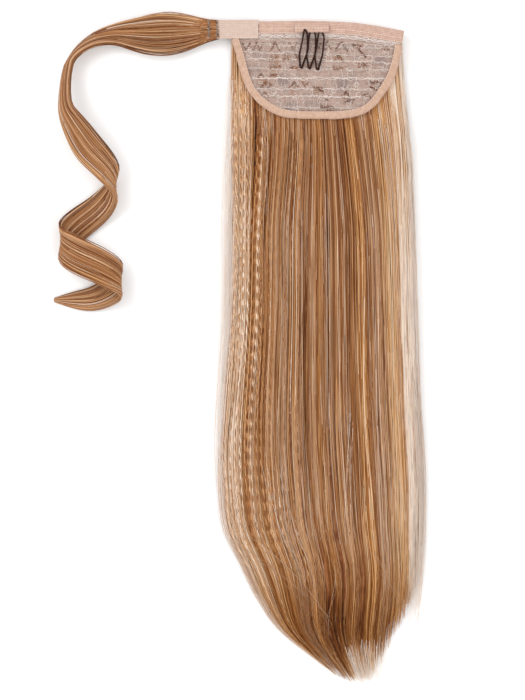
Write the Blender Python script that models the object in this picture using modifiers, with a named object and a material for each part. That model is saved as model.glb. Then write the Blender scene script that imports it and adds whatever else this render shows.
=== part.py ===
# Ponytail hairpiece with a net base, a wire comb and a wrap strand, lying flat.
# Metres, +Z up. +Y runs from the tips of the hair to the straight edge of the base.
# The pieces are drawn from the middle of the base's straight edge, at the height of the
# surface they lie on, and then moved so that the origin is the middle of the underside.

from math import cos, pi, radians, sin

import bmesh
import bpy
from mathutils import Vector

MM = 0.001

# Cloth and clearance
CLOTH = 1.0 * MM            # wall of the net, the tapes and the bands
SEAT_GAP = 0.3 * MM         # clearance between pieces that touch

# Base
BASE_WIDTH = 131.5 * MM
BASE_DEPTH = 75.3 * MM
BASE_MIDDLE = 0.58          # the middle of the straight edge's free part, as a share of the width
BINDING_WIDTH = 5.8 * MM
BINDING_UNDER = 4.6 * MM    # width of the binding's lower leaf
BAND_WIDTH = 10.0 * MM
BAND_START = 0.163          # where the band begins, as a share of the base's width

# Net
NET_BAR = 1.9 * MM
NET_CELL_WIDTH = 9.6 * MM
NET_CELL_DEPTH = 7.2 * MM
FOLLOW_STEP = 21.0 * MM     # the largest face of the net, so that it follows the hair's form
WEFT_WIDTH = 2.4 * MM
WEFT_ROWS = (0.31, 0.43, 0.55, 0.67, 0.78, 0.88)    # shares of the base's depth

# Hook tape
TAPE_LENGTH = 39.5 * MM
TAPE_WIDTH = 14.4 * MM
TAPE_RAISE = 0.8 * MM       # how far the tape stands past the straight edge
TAPE_THICKNESS = 1.2 * MM

# Comb
COMB_LOOPS = 3
COMB_PITCH = 6.2 * MM
COMB_WIRE = 1.15 * MM       # diameter
COMB_LENGTH = 30.0 * MM
COMB_HEAD = 6.9 * MM        # from the base's straight edge to the middle of the head wire
COMB_CENTRE = 0.468         # share of the base's width
COMB_LEAN = -3.0 * MM       # how far the loops' lower ends stand to the left
PATCH_WIDTH = 26.0 * MM
PATCH_DEPTH = 6.6 * MM

# Hair
HAIR_LENGTH = 503.0 * MM    # from the straight edge to the longest tip
HAIR_WIDTH = 141.0 * MM
HAIR_THICKNESS = 19.0 * MM  # at its thickest
HAIR_CROWN = 2.5 * MM       # how much higher the middle lies than the sides
HAIR_EDGE = 3.0 * MM        # thickness of the two side edges
HAIR_ROUNDING = 14.0 * MM   # how far in from a side the full thickness is reached
HAIR_TIP = 1.6 * MM         # thickness of the cut ends
HAIR_START = 2.2 * MM       # how far under the straight edge the hair begins
HAIR_ROWS = 44
LOCK_DEPTH = 2.4 * MM
LOCK_COLUMNS = 4            # columns of faces in each lock
UNDERSIDE_INSET = 1.0 * MM

# Wrap strand
STRAND_REACH = 115.0 * MM   # from the root to the far side of the bend
STRAND_ROOT_OVERLAP = 9.0 * MM
STRAND_THICKNESS = 5.0 * MM
CURL_LENGTH = 158.0 * MM    # down the curls, from the bend to the last turn
CURL_RADIUS = 21.5 * MM
CURL_HEIGHT = 10.5 * MM     # half the height that the strand's middle climbs in a curl
CURL_AXIS = 0.878           # from the bend's end to the curls' axis, as a share of their radius
CURL_DROP = 0.077           # from the bend's end down to the curls, as a share of their length
STRAND_SIDES = 12
ROOT_STATIONS = 26
CURL_STATIONS = 52

# Outline of the base, from its upper left corner down its left side, round the bottom and
# up to its upper right corner, as shares of the base's width and depth.
BASE_CURVE = (
    # across, down
    (0.000, 0.174), (0.033, 0.354), (0.071, 0.596), (0.115, 0.753), (0.180, 0.869),
    (0.262, 0.953), (0.345, 0.990), (0.452, 1.000), (0.637, 0.996), (0.747, 0.960),
    (0.822, 0.883), (0.893, 0.720), (0.945, 0.560), (0.981, 0.341), (1.000, 0.097))

# The straight edge, from its upper right corner back to the left. It drops a little at the right.
BASE_TOP = (
    # across, down
    (1.000, 0.097), (0.822, 0.045), (0.672, 0.013), (0.452, 0.000), (0.250, 0.000),
    (0.000, 0.000))

# The hair from its root to its ends. The sides are shares of the hair's width, measured from
# the middle of the base, and the thickness is a share of the greatest one.
HAIR_SECTIONS = (
    # along, left side, right side, thickness
    (0.00, -0.539, 0.377, 0.300),
    (0.03, -0.539, 0.380, 0.410),
    (0.08, -0.539, 0.388, 0.640),
    (0.12, -0.538, 0.412, 0.820),
    (0.19, -0.534, 0.423, 0.980),
    (0.27, -0.526, 0.431, 1.000),
    (0.41, -0.534, 0.453, 0.960),
    (0.49, -0.550, 0.461, 0.910),
    (0.57, -0.577, 0.472, 0.860),
    (0.65, -0.594, 0.480, 0.790),
    (0.72, -0.580, 0.485, 0.720),
    (0.80, -0.515, 0.471, 0.620),
    (0.87, -0.430, 0.447, 0.520),
    (1.00, -0.330, 0.330, 0.360))

# The locks across the hair: their right sides at the root and at the ends as shares of the
# hair between its two sides, how far the tip reaches as a share of the hair's length, and
# how strongly the lock stands out.
HAIR_LOCKS = (
    # at the root, at the ends, reach, strength
    (0.10, 0.080, 0.822, 0.8),
    (0.20, 0.220, 0.882, 0.9),
    (0.31, 0.385, 0.938, 0.8),
    (0.42, 0.560, 0.972, 1.1),
    (0.53, 0.705, 1.000, 1.3),
    (0.64, 0.780, 0.988, 0.9),
    (0.75, 0.855, 0.960, 1.1),
    (0.88, 0.940, 0.912, 0.8),
    (1.00, 1.000, 0.864, 0.7))
LOCK_NOTCH = 0.016          # how far the ends step back between two locks

# The wrap strand from its root to the start of the curls. Places and widths are shares of the
# reach, leftwards and down from the root; the thickness is a share of the strand's own, and
# the tilt turns the broad side from up towards the outside of the bend, in degrees.
ROOT_SECTIONS = (
    # left, down, height, width, thickness, tilt
    (0.000, 0.000, 0.040, 0.120, 0.48, 0),
    (0.083, 0.008, 0.040, 0.150, 0.60, 0),
    (0.198, 0.018, 0.042, 0.228, 1.55, 0),
    (0.317, 0.028, 0.052, 0.284, 2.20, 0),
    (0.449, 0.034, 0.049, 0.274, 2.05, 2),
    (0.600, 0.030, 0.048, 0.196, 1.60, 10),
    (0.700, 0.036, 0.055, 0.142, 1.30, 22),
    (0.832, 0.079, 0.066, 0.116, 1.10, 45),
    (0.944, 0.186, 0.072, 0.106, 1.00, 66),
    (1.000, 0.302, 0.082, 0.106, 0.95, 78))

# The curls: a flattened helix that runs down from the bend. The angle is 0 where the strand
# passes over the top. Down and width are shares of the curls' length.
CURL_SECTIONS = (
    # angle, down, radius, width, thickness
    (-75, 0.000, 1.00, 0.085, 0.90),
    (-58, 0.072, 1.00, 0.098, 0.90),
    (-38, 0.144, 1.00, 0.118, 0.90),
    (-18, 0.220, 0.98, 0.140, 0.90),
    (5, 0.298, 0.95, 0.158, 0.90),
    (45, 0.372, 0.85, 0.158, 0.90),
    (90, 0.450, 0.81, 0.148, 0.90),
    (135, 0.520, 0.86, 0.142, 0.90),
    (180, 0.590, 0.98, 0.150, 0.90),
    (225, 0.655, 1.00, 0.160, 0.90),
    (270, 0.715, 1.00, 0.170, 0.90),
    (315, 0.768, 1.02, 0.174, 0.90),
    (360, 0.815, 1.05, 0.176, 0.90),
    (405, 0.864, 1.06, 0.172, 0.90),
    (450, 0.912, 1.04, 0.158, 0.90),
    (495, 0.960, 1.00, 0.136, 0.85),
    (540, 1.000, 1.00, 0.110, 0.75))
TAIL_LENGTH = 28.0 * MM     # the straight end after the last turn
TAIL_TIP_WIDTH = 3.0 * MM

# Colours
COLOURS = {
    # name: red, green, blue, roughness, metallic
    "hair": (0.42, 0.23, 0.11, 0.45, 0.0),
    "net": (0.60, 0.46, 0.40, 0.80, 0.0),
    "binding": (0.72, 0.47, 0.36, 0.75, 0.0),
    "band": (0.73, 0.48, 0.37, 0.75, 0.0),
    "hook": (0.80, 0.66, 0.56, 0.80, 0.0),
    "weft": (0.50, 0.38, 0.30, 0.80, 0.0),
    "wire": (0.03, 0.01, 0.008, 0.35, 0.6),
}

# Heights of the layers over the hair
LEAF_LEVEL = SEAT_GAP                           # underside of the lower leaves and the wefts
NET_LEVEL = LEAF_LEVEL + CLOTH + SEAT_GAP       # underside of the net
UPPER_LEVEL = NET_LEVEL + CLOTH + SEAT_GAP      # underside of the upper leaves and the hook tape
WIRE_LEVEL = UPPER_LEVEL + CLOTH + SEAT_GAP     # underside of the comb's head


def read_table(rows, at):
    """The other columns of a table where its first column is at, on a smooth curve."""
    last = len(rows) - 1
    i = 0
    while i < last - 1 and rows[i + 1][0] < at:
        i += 1
    before = rows[max(i - 1, 0)]
    start = rows[i]
    end = rows[i + 1]
    after = rows[min(i + 2, last)]
    step = end[0] - start[0]
    t = min(max((at - start[0]) / step, 0.0), 1.0)
    values = []
    for column in range(1, len(start)):
        slope_start = (end[column] - before[column]) / (end[0] - before[0]) * step
        slope_end = (after[column] - start[column]) / (after[0] - start[0]) * step
        values.append((2 * t**3 - 3 * t**2 + 1) * start[column]
                      + (t**3 - 2 * t**2 + t) * slope_start
                      + (3 * t**2 - 2 * t**3) * end[column]
                      + (t**3 - t**2) * slope_end)
    return values


def smooth_step(at, start, end):
    """0 before start, 1 after end, and an even rise between."""
    t = min(max((at - start) / (end - start), 0.0), 1.0)
    return t * t * (3 - 2 * t)


def shares_of(start, end, count):
    """Count + 1 evenly spaced values from start to end."""
    return [start + (end - start) * i / count for i in range(count + 1)]


def base_place(across, down):
    """A point of the base's drawing in the plane."""
    return Vector(((across - BASE_MIDDLE) * BASE_WIDTH, -down * BASE_DEPTH))


def outline(rows, steps):
    """A smooth line through an outline's table, with steps pieces between two rows."""
    numbered = [(i, *row) for i, row in enumerate(rows)]
    count = (len(rows) - 1) * steps
    return [base_place(*read_table(numbered, at)) for at in shares_of(0, len(rows) - 1, count)]


def inward(points, i):
    """The direction in the plane that points to the left of a line of points."""
    before = points[max(i - 1, 0)]
    after = points[min(i + 1, len(points) - 1)]
    along = (after - before).normalized()
    return Vector((-along.y, along.x))


def straight_edge(x):
    """How far down the base's straight edge lies at a place across it."""
    rows = [(across, down) for across, down in reversed(BASE_TOP)]
    return read_table(rows, x / BASE_WIDTH + BASE_MIDDLE)[0] * BASE_DEPTH


def hair_top(x, y):
    """Height of the hair's upper side, without its locks and rounded edges."""
    along = min(max(-y / HAIR_LENGTH, 0.0), 1.0)
    thickness = read_table(HAIR_SECTIONS, along)[2] * HAIR_THICKNESS
    sideways = min(abs(2 * x / HAIR_WIDTH), 1.0)
    return thickness - HAIR_CROWN * sin(pi / 2 * sideways) ** 2


def over_hair(place, level):
    """A point at a height over the hair's upper side."""
    return Vector((place.x, place.y, hair_top(place.x, place.y) + level))


def material(name):
    """A Principled material in one of the part's colours."""
    if name in bpy.data.materials:
        return bpy.data.materials[name]
    made = bpy.data.materials.new(name)
    made.use_nodes = True
    shader = made.node_tree.nodes["Principled BSDF"]
    red, green, blue, roughness, metallic = COLOURS[name]
    shader.inputs["Base Color"].default_value = (red, green, blue, 1.0)
    shader.inputs["Roughness"].default_value = roughness
    shader.inputs["Metallic"].default_value = metallic
    return made


def add_object(name, mesh, colour):
    """An object of a mesh, in the part's collection and under its empty."""
    made = bpy.data.objects.new(name, mesh)
    made.data.materials.append(material(colour))
    collection.objects.link(made)
    made.parent = root
    return made


def mesh_of(name, points, faces):
    """A mesh with its faces turned outwards."""
    mesh = bpy.data.meshes.new(name)
    mesh.from_pydata(points, [], faces)
    work = bmesh.new()
    work.from_mesh(mesh)
    bmesh.ops.recalc_face_normals(work, faces=work.faces)
    work.to_mesh(mesh)
    work.free()
    return mesh


def loft(name, sections, colour):
    """A solid through closed sections of equal counts, with flat ends."""
    count = len(sections[0])
    points = [point for section in sections for point in section]
    faces = [tuple(reversed(range(count)))]
    for row in range(len(sections) - 1):
        for i in range(count):
            j = (i + 1) % count
            faces.append((row * count + i, row * count + j,
                          (row + 1) * count + j, (row + 1) * count + i))
    faces.append(tuple(range(len(points) - count, len(points))))
    return add_object(name, mesh_of(name, points, faces), colour)


def sheet(name, rows, thickness, colour):
    """A cloth sheet: a grid of points for its underside, thickened upwards."""
    count = len(rows[0])
    points = [point for row in rows for point in row]
    faces = []
    for i in range(len(rows) - 1):
        for j in range(count - 1):
            faces.append((i * count + j, i * count + j + 1,
                          (i + 1) * count + j + 1, (i + 1) * count + j))
    mesh = bpy.data.meshes.new(name)
    mesh.from_pydata(points, [], faces)
    if mesh.polygons[0].normal.z < 0:
        mesh.flip_normals()
    made = add_object(name, mesh, colour)
    thicken(made, thickness)
    return made


def thicken(made, thickness):
    """Adds thickness on the upper side of an open surface."""
    solidify = made.modifiers.new("Thickness", "SOLIDIFY")
    solidify.thickness = thickness
    solidify.offset = 1.0
    solidify.use_even_offset = False


def folded_section(width, under):
    """Section of a tape folded over the net's edge: distance in from the fold, and height."""
    top = 3 * CLOTH + 2 * SEAT_GAP
    inner_low = CLOTH
    inner_high = top - CLOTH
    fold = 0.8 * CLOTH
    return ((under, 0.0), (fold, 0.0), (0.0, fold), (0.0, top - fold), (fold, top),
            (width, top), (width, inner_high), (CLOTH + 0.3 * fold, inner_high),
            (CLOTH, inner_high - 0.3 * fold), (CLOTH, inner_low + 0.3 * fold),
            (CLOTH + 0.3 * fold, inner_low), (under, inner_low))


def folded_tape(name, points, width, under, colour):
    """A tape folded over the net's edge along a line of points."""
    section = folded_section(width, under)
    sections = []
    for i, place in enumerate(points):
        direction = inward(points, i)
        sections.append([over_hair(place + direction * inset, LEAF_LEVEL + level)
                         for inset, level in section])
    return loft(name, sections, colour)


def trimmed(points, keep):
    """The points of a line that a test keeps."""
    return [place for place in points if keep(place)]


def build_edge_binding():
    """The tape folded round the curved edge, between the hook tape and the top band."""
    corner_drop = BASE_TOP[0][1] * BASE_DEPTH
    slant = 0.2 * BINDING_WIDTH     # how far the cut end rises across the tape's width
    left_end = -(TAPE_WIDTH - TAPE_RAISE + 2 * SEAT_GAP + slant)
    right_end = -(corner_drop + BAND_WIDTH + 2 * SEAT_GAP)
    curve = outline(BASE_CURVE, 12)
    middle = base_place(0.5, 0).x
    kept = trimmed(curve, lambda place: place.y < (left_end if place.x < middle else right_end))
    stations = kept[::4]
    if stations[-1] != kept[-1]:
        stations.append(kept[-1])
    return folded_tape("edge_binding", stations, BINDING_WIDTH, BINDING_UNDER, "binding")


def build_top_band():
    """The ribbed tape folded over the straight edge, up to the hook tape."""
    band_left = base_place(BAND_START, 0).x
    curve = outline(BASE_TOP, 12)
    kept = trimmed(curve, lambda place: place.x > band_left)
    stations = kept[::4]
    stations.append(Vector((band_left, kept[-1].y)))
    return folded_tape("top_band", stations, BAND_WIDTH, BAND_WIDTH - CLOTH, "band")


def inside(place, polygon, margin):
    """Whether a point lies inside a polygon, at least margin from its sides."""
    hits = 0
    for i, start in enumerate(polygon):
        end = polygon[(i + 1) % len(polygon)]
        side = end - start
        share = min(max((place - start).dot(side) / max(side.length_squared, 1e-12), 0.0), 1.0)
        if (place - start - side * share).length < margin:
            return False
        if (start.y > place.y) != (end.y > place.y):
            crossing = start.x + (place.y - start.y) / (end.y - start.y) * (end.x - start.x)
            if crossing > place.x:
                hits += 1
    return hits % 2 == 1


def moved_inwards(line, distance):
    """A line of points moved to its left by a distance."""
    return [place + inward(line, i) * distance for i, place in enumerate(line)]


def net_outline(inset):
    """The base's whole outline, moved inwards."""
    edge = CLOTH + SEAT_GAP if inset is None else inset
    top = outline(BASE_TOP, 3)
    curve = outline(BASE_CURVE, 3)
    corner = Vector((top[-1].x + edge, top[-1].y - edge))
    left = [Vector((corner.x, curve[0].y))]
    return moved_inwards(curve[1:-1], edge) + moved_inwards(top[1:-1], edge) + [corner] + left


def net_cells(region):
    """Corners and sizes of the net's openings, in rows like bricks."""
    row_pitch = NET_CELL_DEPTH + NET_BAR * 0.2
    cell_pitch = NET_CELL_WIDTH + NET_BAR * 0.2
    width = cell_pitch - NET_BAR
    depth = row_pitch - NET_BAR
    left = base_place(0, 0).x
    rows = int(BASE_DEPTH / row_pitch)
    columns = int(BASE_WIDTH / cell_pitch) + 1
    cells = []
    for row in range(rows):
        y = -BAND_WIDTH - 0.2 * BAND_WIDTH - depth / 2 - row * row_pitch
        shift = 0.5 * cell_pitch * (row % 2)
        for column in range(columns):
            x = left + BINDING_WIDTH + shift + column * cell_pitch
            corners = [Vector((x + a * width / 2, y + b * depth / 2))
                       for a in (-1, 1) for b in (-1, 1)]
            if all(inside(corner, region, BINDING_WIDTH) for corner in corners):
                cells.append((x, y, width, depth))
    return cells


def build_net():
    """The net: a plate of the base's outline with its cells cut out, laid over the hair."""
    region = net_outline(None)
    count = len(region)
    points = [(place.x, place.y, 0.0) for place in region]
    points += [(place.x, place.y, CLOTH) for place in region]
    faces = [tuple(range(count)), tuple(range(count, 2 * count))]
    faces += [(i, (i + 1) % count, count + (i + 1) % count, count + i) for i in range(count)]
    net = add_object("base_net", mesh_of("base_net", points, faces), "net")

    work = bmesh.new()
    for x, y, width, depth in net_cells(region):
        made = bmesh.ops.create_cube(work, size=1.0)
        bmesh.ops.scale(work, vec=(width, depth, 4 * CLOTH), verts=made["verts"])
        bmesh.ops.translate(work, vec=(x, y, CLOTH / 2), verts=made["verts"])
    cutter_mesh = bpy.data.meshes.new("net_cells")
    work.to_mesh(cutter_mesh)
    work.free()
    cutter = bpy.data.objects.new("net_cells", cutter_mesh)
    cutter.hide_render = True
    cutter.display_type = "WIRE"
    cutters.objects.link(cutter)

    cut = net.modifiers.new("Cells", "BOOLEAN")
    cut.operation = "DIFFERENCE"
    cut.object = cutter
    bpy.context.view_layer.update()
    pierced = bpy.data.meshes.new_from_object(
        net.evaluated_get(bpy.context.evaluated_depsgraph_get()))
    net.modifiers.clear()
    net.data = pierced
    bpy.data.objects.remove(cutter)
    lay_over_hair(pierced)
    return net


def lay_over_hair(mesh):
    """Bends a flat plate to the hair's upper side, with its faces cut small enough to follow."""
    work = bmesh.new()
    work.from_mesh(mesh)
    left = base_place(0, 0).x
    across = int(BASE_WIDTH / FOLLOW_STEP)
    down = int(BASE_DEPTH / FOLLOW_STEP)
    planes = [(Vector((left + BASE_WIDTH * i / across, 0, 0)), Vector((1, 0, 0)))
              for i in range(1, across)]
    planes += [(Vector((0, -BASE_DEPTH * i / down, 0)), Vector((0, 1, 0)))
               for i in range(1, down)]
    for place, normal in planes:
        everything = work.verts[:] + work.edges[:] + work.faces[:]
        bmesh.ops.bisect_plane(work, geom=everything, plane_co=place, plane_no=normal)
    bmesh.ops.triangulate(work, faces=work.faces)
    for vertex in work.verts:
        vertex.co.z += hair_top(vertex.co.x, vertex.co.y) + NET_LEVEL
    work.to_mesh(mesh)
    work.free()


def build_weft_track(number, share):
    """One sewn row of hair under the net, between the binding's lower leaves."""
    region = net_outline(BINDING_UNDER + 2 * SEAT_GAP)
    y = -share * BASE_DEPTH
    ends = []
    for edge in (y - WEFT_WIDTH / 2, y + WEFT_WIDTH / 2):
        for i, start in enumerate(region):
            end = region[(i + 1) % len(region)]
            if (start.y > edge) != (end.y > edge):
                ends.append(start.x + (edge - start.y) / (end.y - start.y) * (end.x - start.x))
    middle = base_place(0.5, 0).x
    left = max(x for x in ends if x < middle)
    right = min(x for x in ends if x > middle)
    rows = []
    for side in (-1, 1):
        rows.append([over_hair(Vector((x, y + side * WEFT_WIDTH / 2)), LEAF_LEVEL)
                     for x in shares_of(left, right, 12)])
    return sheet("weft_track_%d" % number, rows, CLOTH, "weft")


def tape_left():
    """Where the hook tape ends over the wrap strand's root."""
    return base_place(BAND_START, 0).x - SEAT_GAP - TAPE_LENGTH


def build_hook_tape():
    """The tab of hook tape on the corner of the net, which runs out over the strand's root."""
    right = base_place(BAND_START, 0).x - SEAT_GAP
    rows = []
    for down in shares_of(0, TAPE_WIDTH, 3):
        rows.append([over_hair(Vector((x, TAPE_RAISE - down)), UPPER_LEVEL)
                     for x in shares_of(tape_left(), right, 8)])
    return sheet("hook_tape", rows, TAPE_THICKNESS, "hook")


def comb_level(down):
    """Height of the wire's middle over the hair: over the band at the head, then down."""
    start = BAND_WIDTH + SEAT_GAP
    head = WIRE_LEVEL + COMB_WIRE / 2
    lowest = UPPER_LEVEL + COMB_WIRE / 2
    return head + (lowest - head) * smooth_step(down, start, COMB_HEAD + COMB_LENGTH)


def comb_point(loop, angle):
    """A point of one long loop. The angle is 0 at the head and grows down the left side."""
    bulge = 0.62 + 0.38 * sin(pi * (1 - cos(angle)) / 2)
    half_width = (COMB_PITCH - SEAT_GAP - COMB_WIRE) / 2
    lengthwise = (1 - cos(angle)) / 2
    side = (abs(sin(angle)) ** 0.55) * (1 if sin(angle) > 0 else -1)
    x = (base_place(COMB_CENTRE, 0).x + (loop - (COMB_LOOPS - 1) / 2) * COMB_PITCH
         + COMB_LEAN * lengthwise - half_width * bulge * side)
    down = COMB_HEAD + COMB_LENGTH * lengthwise
    return over_hair(Vector((x, -down)), comb_level(down))


def wire_curve(name, points, closed):
    """A wire of the comb's diameter through points."""
    data = bpy.data.curves.new(name, "CURVE")
    data.dimensions = "3D"
    data.bevel_depth = COMB_WIRE / 2
    data.bevel_resolution = 1
    data.use_fill_caps = True
    spline = data.splines.new("POLY")
    spline.points.add(len(points) - 1)
    for target, point in zip(spline.points, points):
        target.co = (*point, 1.0)
    spline.use_cyclic_u = closed
    return bpy.data.objects.new(name, data)


def solid_of(curve_object):
    """A curve object made a closed mesh."""
    collection.objects.link(curve_object)
    bpy.context.view_layer.update()
    graph = bpy.context.evaluated_depsgraph_get()
    mesh = bpy.data.meshes.new_from_object(curve_object.evaluated_get(graph))
    work = bmesh.new()
    work.from_mesh(mesh)
    bmesh.ops.remove_doubles(work, verts=work.verts, dist=0.00001)
    bmesh.ops.recalc_face_normals(work, faces=work.faces)
    work.to_mesh(mesh)
    work.free()
    name = curve_object.name
    bpy.data.objects.remove(curve_object)
    made = bpy.data.objects.new(name, mesh)
    cutters.objects.link(made)
    return made


def build_comb():
    """Three long wire loops on a head wire, as one piece."""
    first = comb_point(0, 0)
    last = comb_point(COMB_LOOPS - 1, 0)
    reach = 0.25 * COMB_PITCH
    head_points = []
    for x in shares_of(first.x - reach, last.x + reach, 4):
        head_points.append(over_hair(Vector((x, first.y)), comb_level(COMB_HEAD)))
    head = solid_of(wire_curve("comb_head", head_points, False))
    comb = add_object("wire_comb", head.data.copy(), "wire")
    joined = [head]
    for loop in range(COMB_LOOPS):
        angles = shares_of(0, 2 * pi, 22)[:-1]
        piece = solid_of(wire_curve("comb_loop_%d" % loop,
                                    [comb_point(loop, angle) for angle in angles], True))
        union = comb.modifiers.new("Loop", "BOOLEAN")
        union.operation = "UNION"
        union.object = piece
        joined.append(piece)
    bpy.context.view_layer.update()
    graph = bpy.context.evaluated_depsgraph_get()
    mesh = bpy.data.meshes.new_from_object(comb.evaluated_get(graph))
    comb.modifiers.clear()
    comb.data = mesh
    for piece in joined:
        bpy.data.objects.remove(piece)
    return comb


def build_comb_patch():
    """The small patch sewn on the band, whose free edge lies over the comb's head."""
    centre = base_place(COMB_CENTRE, 0).x
    over_wire = WIRE_LEVEL + COMB_WIRE + SEAT_GAP
    profile = (
        # down from the patch's upper edge as a share, height
        (0.00, WIRE_LEVEL), (0.25, WIRE_LEVEL), (0.55, over_wire), (1.00, over_wire))
    top = COMB_HEAD + 0.75 * COMB_WIRE - PATCH_DEPTH
    rows = []
    for share, level in profile:
        rows.append([over_hair(Vector((x, -top - share * PATCH_DEPTH)), level)
                     for x in shares_of(centre - PATCH_WIDTH / 2, centre + PATCH_WIDTH / 2, 4)])
    return sheet("comb_patch", rows, CLOTH, "band")


def lock_columns():
    """Across the hair: place at the root and at the ends, reach, and depth of the valley."""
    columns = []
    root_left = 0.0
    end_left = 0.0
    for i, (root_right, end_right, reach, strength) in enumerate(HAIR_LOCKS):
        reach_left = HAIR_LOCKS[i - 1][2] if i > 0 else reach
        reach_right = HAIR_LOCKS[i + 1][2] if i < len(HAIR_LOCKS) - 1 else reach
        for step in range(LOCK_COLUMNS + (1 if i == len(HAIR_LOCKS) - 1 else 0)):
            share = step / LOCK_COLUMNS
            rise = sin(pi * share)
            neighbour = reach_left if share < 0.5 else reach_right
            edge_reach = (reach + neighbour) / 2 - LOCK_NOTCH
            columns.append((root_left + (root_right - root_left) * share,
                            end_left + (end_right - end_left) * share,
                            edge_reach + (reach - edge_reach) * rise,
                            strength * (1 - rise) ** 1.5))
        root_left = root_right
        end_left = end_right
    return columns


def hair_point(column, columns, share):
    """A point of the hair's upper side, in one column, at a share of its length."""
    root_place, end_place, reach, valley = column
    left = read_table(HAIR_SECTIONS, share * columns[0][2])[0] * HAIR_WIDTH
    right = read_table(HAIR_SECTIONS, share * columns[-1][2])[1] * HAIR_WIDTH
    sweep = smooth_step(share, 0.25, 1.0)
    across = root_place + (end_place - root_place) * sweep
    x = left + (right - left) * across
    start = straight_edge(x) + HAIR_START
    down = start + share * (reach * HAIR_LENGTH - start)
    y = -down
    edge = min(x - left, right - x)
    rounding = min(max(edge / HAIR_ROUNDING, 0.0), 1.0)
    rounding = (1 - (1 - rounding) ** 2) ** 0.5
    ending = (1 - smooth_step(share, 0.86, 1.0)) * rounding
    side = HAIR_TIP + (HAIR_EDGE - HAIR_TIP) * (1 - smooth_step(share, 0.8, 1.0))
    full = hair_top(x, y) - LOCK_DEPTH * valley * smooth_step(down / HAIR_LENGTH, 0.03, 0.3)
    return Vector((x, y, side + (full - side) * ending))


def build_hair():
    """The tail of hair: locks on its upper side, and a flat underside that it rests on."""
    columns = lock_columns()
    across = len(columns)
    rows = [[hair_point(column, columns, share) for column in columns]
            for share in shares_of(0, 1, HAIR_ROWS)]
    points = [point for row in rows for point in row]
    faces = []
    for i in range(HAIR_ROWS):
        for j in range(across - 1):
            faces.append((i * across + j, i * across + j + 1,
                          (i + 1) * across + j + 1, (i + 1) * across + j))
    rim = [j for j in range(across)]
    rim += [i * across + across - 1 for i in range(1, HAIR_ROWS)]
    rim += [HAIR_ROWS * across + j for j in reversed(range(across))]
    rim += [i * across for i in reversed(range(1, HAIR_ROWS))]
    below = []
    for index in rim:
        row, column = divmod(index, across)
        shift_x = UNDERSIDE_INSET * ((column == 0) - (column == across - 1))
        shift_y = UNDERSIDE_INSET * ((row == HAIR_ROWS) - (row == 0))
        place = points[index]
        below.append(len(points))
        points.append(Vector((place.x + shift_x, place.y + shift_y, 0.0)))
    for i in range(len(rim)):
        j = (i + 1) % len(rim)
        faces.append((rim[i], rim[j], below[j], below[i]))
    faces.append(tuple(below))
    return add_object("hair_ponytail", mesh_of("hair_ponytail", points, faces), "hair")


def strand_root_place():
    """The strand's root under the hook tape."""
    middle = TAPE_RAISE - TAPE_WIDTH / 2
    return Vector((tape_left() + STRAND_ROOT_OVERLAP, middle))


def strand_stations():
    """Middle, outward direction, width and thickness along the wrap strand."""
    start = strand_root_place()
    stations = []
    numbered = [(i, *row) for i, row in enumerate(ROOT_SECTIONS)]
    for at in shares_of(0, len(ROOT_SECTIONS) - 1, ROOT_STATIONS):
        left, down, height, width, thickness, tilt = read_table(numbered, at)
        middle = Vector((start.x - left * STRAND_REACH, start.y - down * STRAND_REACH,
                         height * STRAND_REACH))
        outside = Vector((-left, 0.75 - 2 * down, 0.0)).normalized()
        out = Vector((0, 0, 1)) * cos(radians(tilt)) + outside * sin(radians(tilt))
        stations.append((middle, out, width * STRAND_REACH, thickness * STRAND_THICKNESS))
    bend = stations[-1][0]
    axis_x = bend.x + CURL_AXIS * CURL_RADIUS
    curl_top = bend.y - CURL_DROP * CURL_LENGTH
    numbered = [(i, *row) for i, row in enumerate(CURL_SECTIONS)]
    for at in shares_of(0, len(CURL_SECTIONS) - 1, CURL_STATIONS):
        angle, down, radius, width, thickness = read_table(numbered, at)
        turn = radians(angle)
        middle = Vector((axis_x + CURL_RADIUS * radius * sin(turn),
                         curl_top - down * CURL_LENGTH,
                         CURL_HEIGHT * (1 + cos(turn)) + thickness * STRAND_THICKNESS / 2))
        out = Vector((sin(turn) / CURL_RADIUS, 0.0, cos(turn) / CURL_HEIGHT)).normalized()
        stations.append((middle, out, width * CURL_LENGTH, thickness * STRAND_THICKNESS))
    last, out, width, thickness = stations[-1]
    for share in (0.3, 0.6, 0.85, 1.0):
        middle = last + Vector((-TAIL_LENGTH * share, 0.0, -0.15 * thickness * share))
        tip_width = width + (TAIL_TIP_WIDTH - width) * share ** 1.4
        stations.append((middle, out, tip_width, thickness * (1 - 0.6 * share)))
    return stations


def build_wrap_strand():
    """The free lock: a lens-shaped section along the strand's run, flattened where it rests."""
    stations = strand_stations()
    sections = []
    for i, (middle, out, width, thickness) in enumerate(stations):
        before = stations[max(i - 1, 0)][0]
        after = stations[min(i + 1, len(stations) - 1)][0]
        along = (after - before).normalized()
        broad = along.cross(out).normalized()
        out = broad.cross(along).normalized()
        section = []
        for side in range(STRAND_SIDES):
            angle = 2 * pi * side / STRAND_SIDES
            point = (middle + broad * (cos(angle) * width / 2)
                     + out * (sin(angle) * thickness / 2))
            point.z = max(point.z, 0.0)
            section.append(point)
        sections.append(section)
    return loft("wrap_strand", sections, "hair")


def place_origin():
    """Moves the empty so that the middle of the whole underside is the origin."""
    bpy.context.view_layer.update()
    graph = bpy.context.evaluated_depsgraph_get()
    corners = []
    for made in collection.objects:
        if made.type == "MESH":
            evaluated = made.evaluated_get(graph)
            corners += [evaluated.matrix_world @ vertex.co for vertex in evaluated.data.vertices]
    low = Vector([min(corner[i] for corner in corners) for i in range(3)])
    high = Vector([max(corner[i] for corner in corners) for i in range(3)])
    root.location = Vector((-(low.x + high.x) / 2, -(low.y + high.y) / 2, -low.z))
    bpy.context.view_layer.update()


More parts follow.
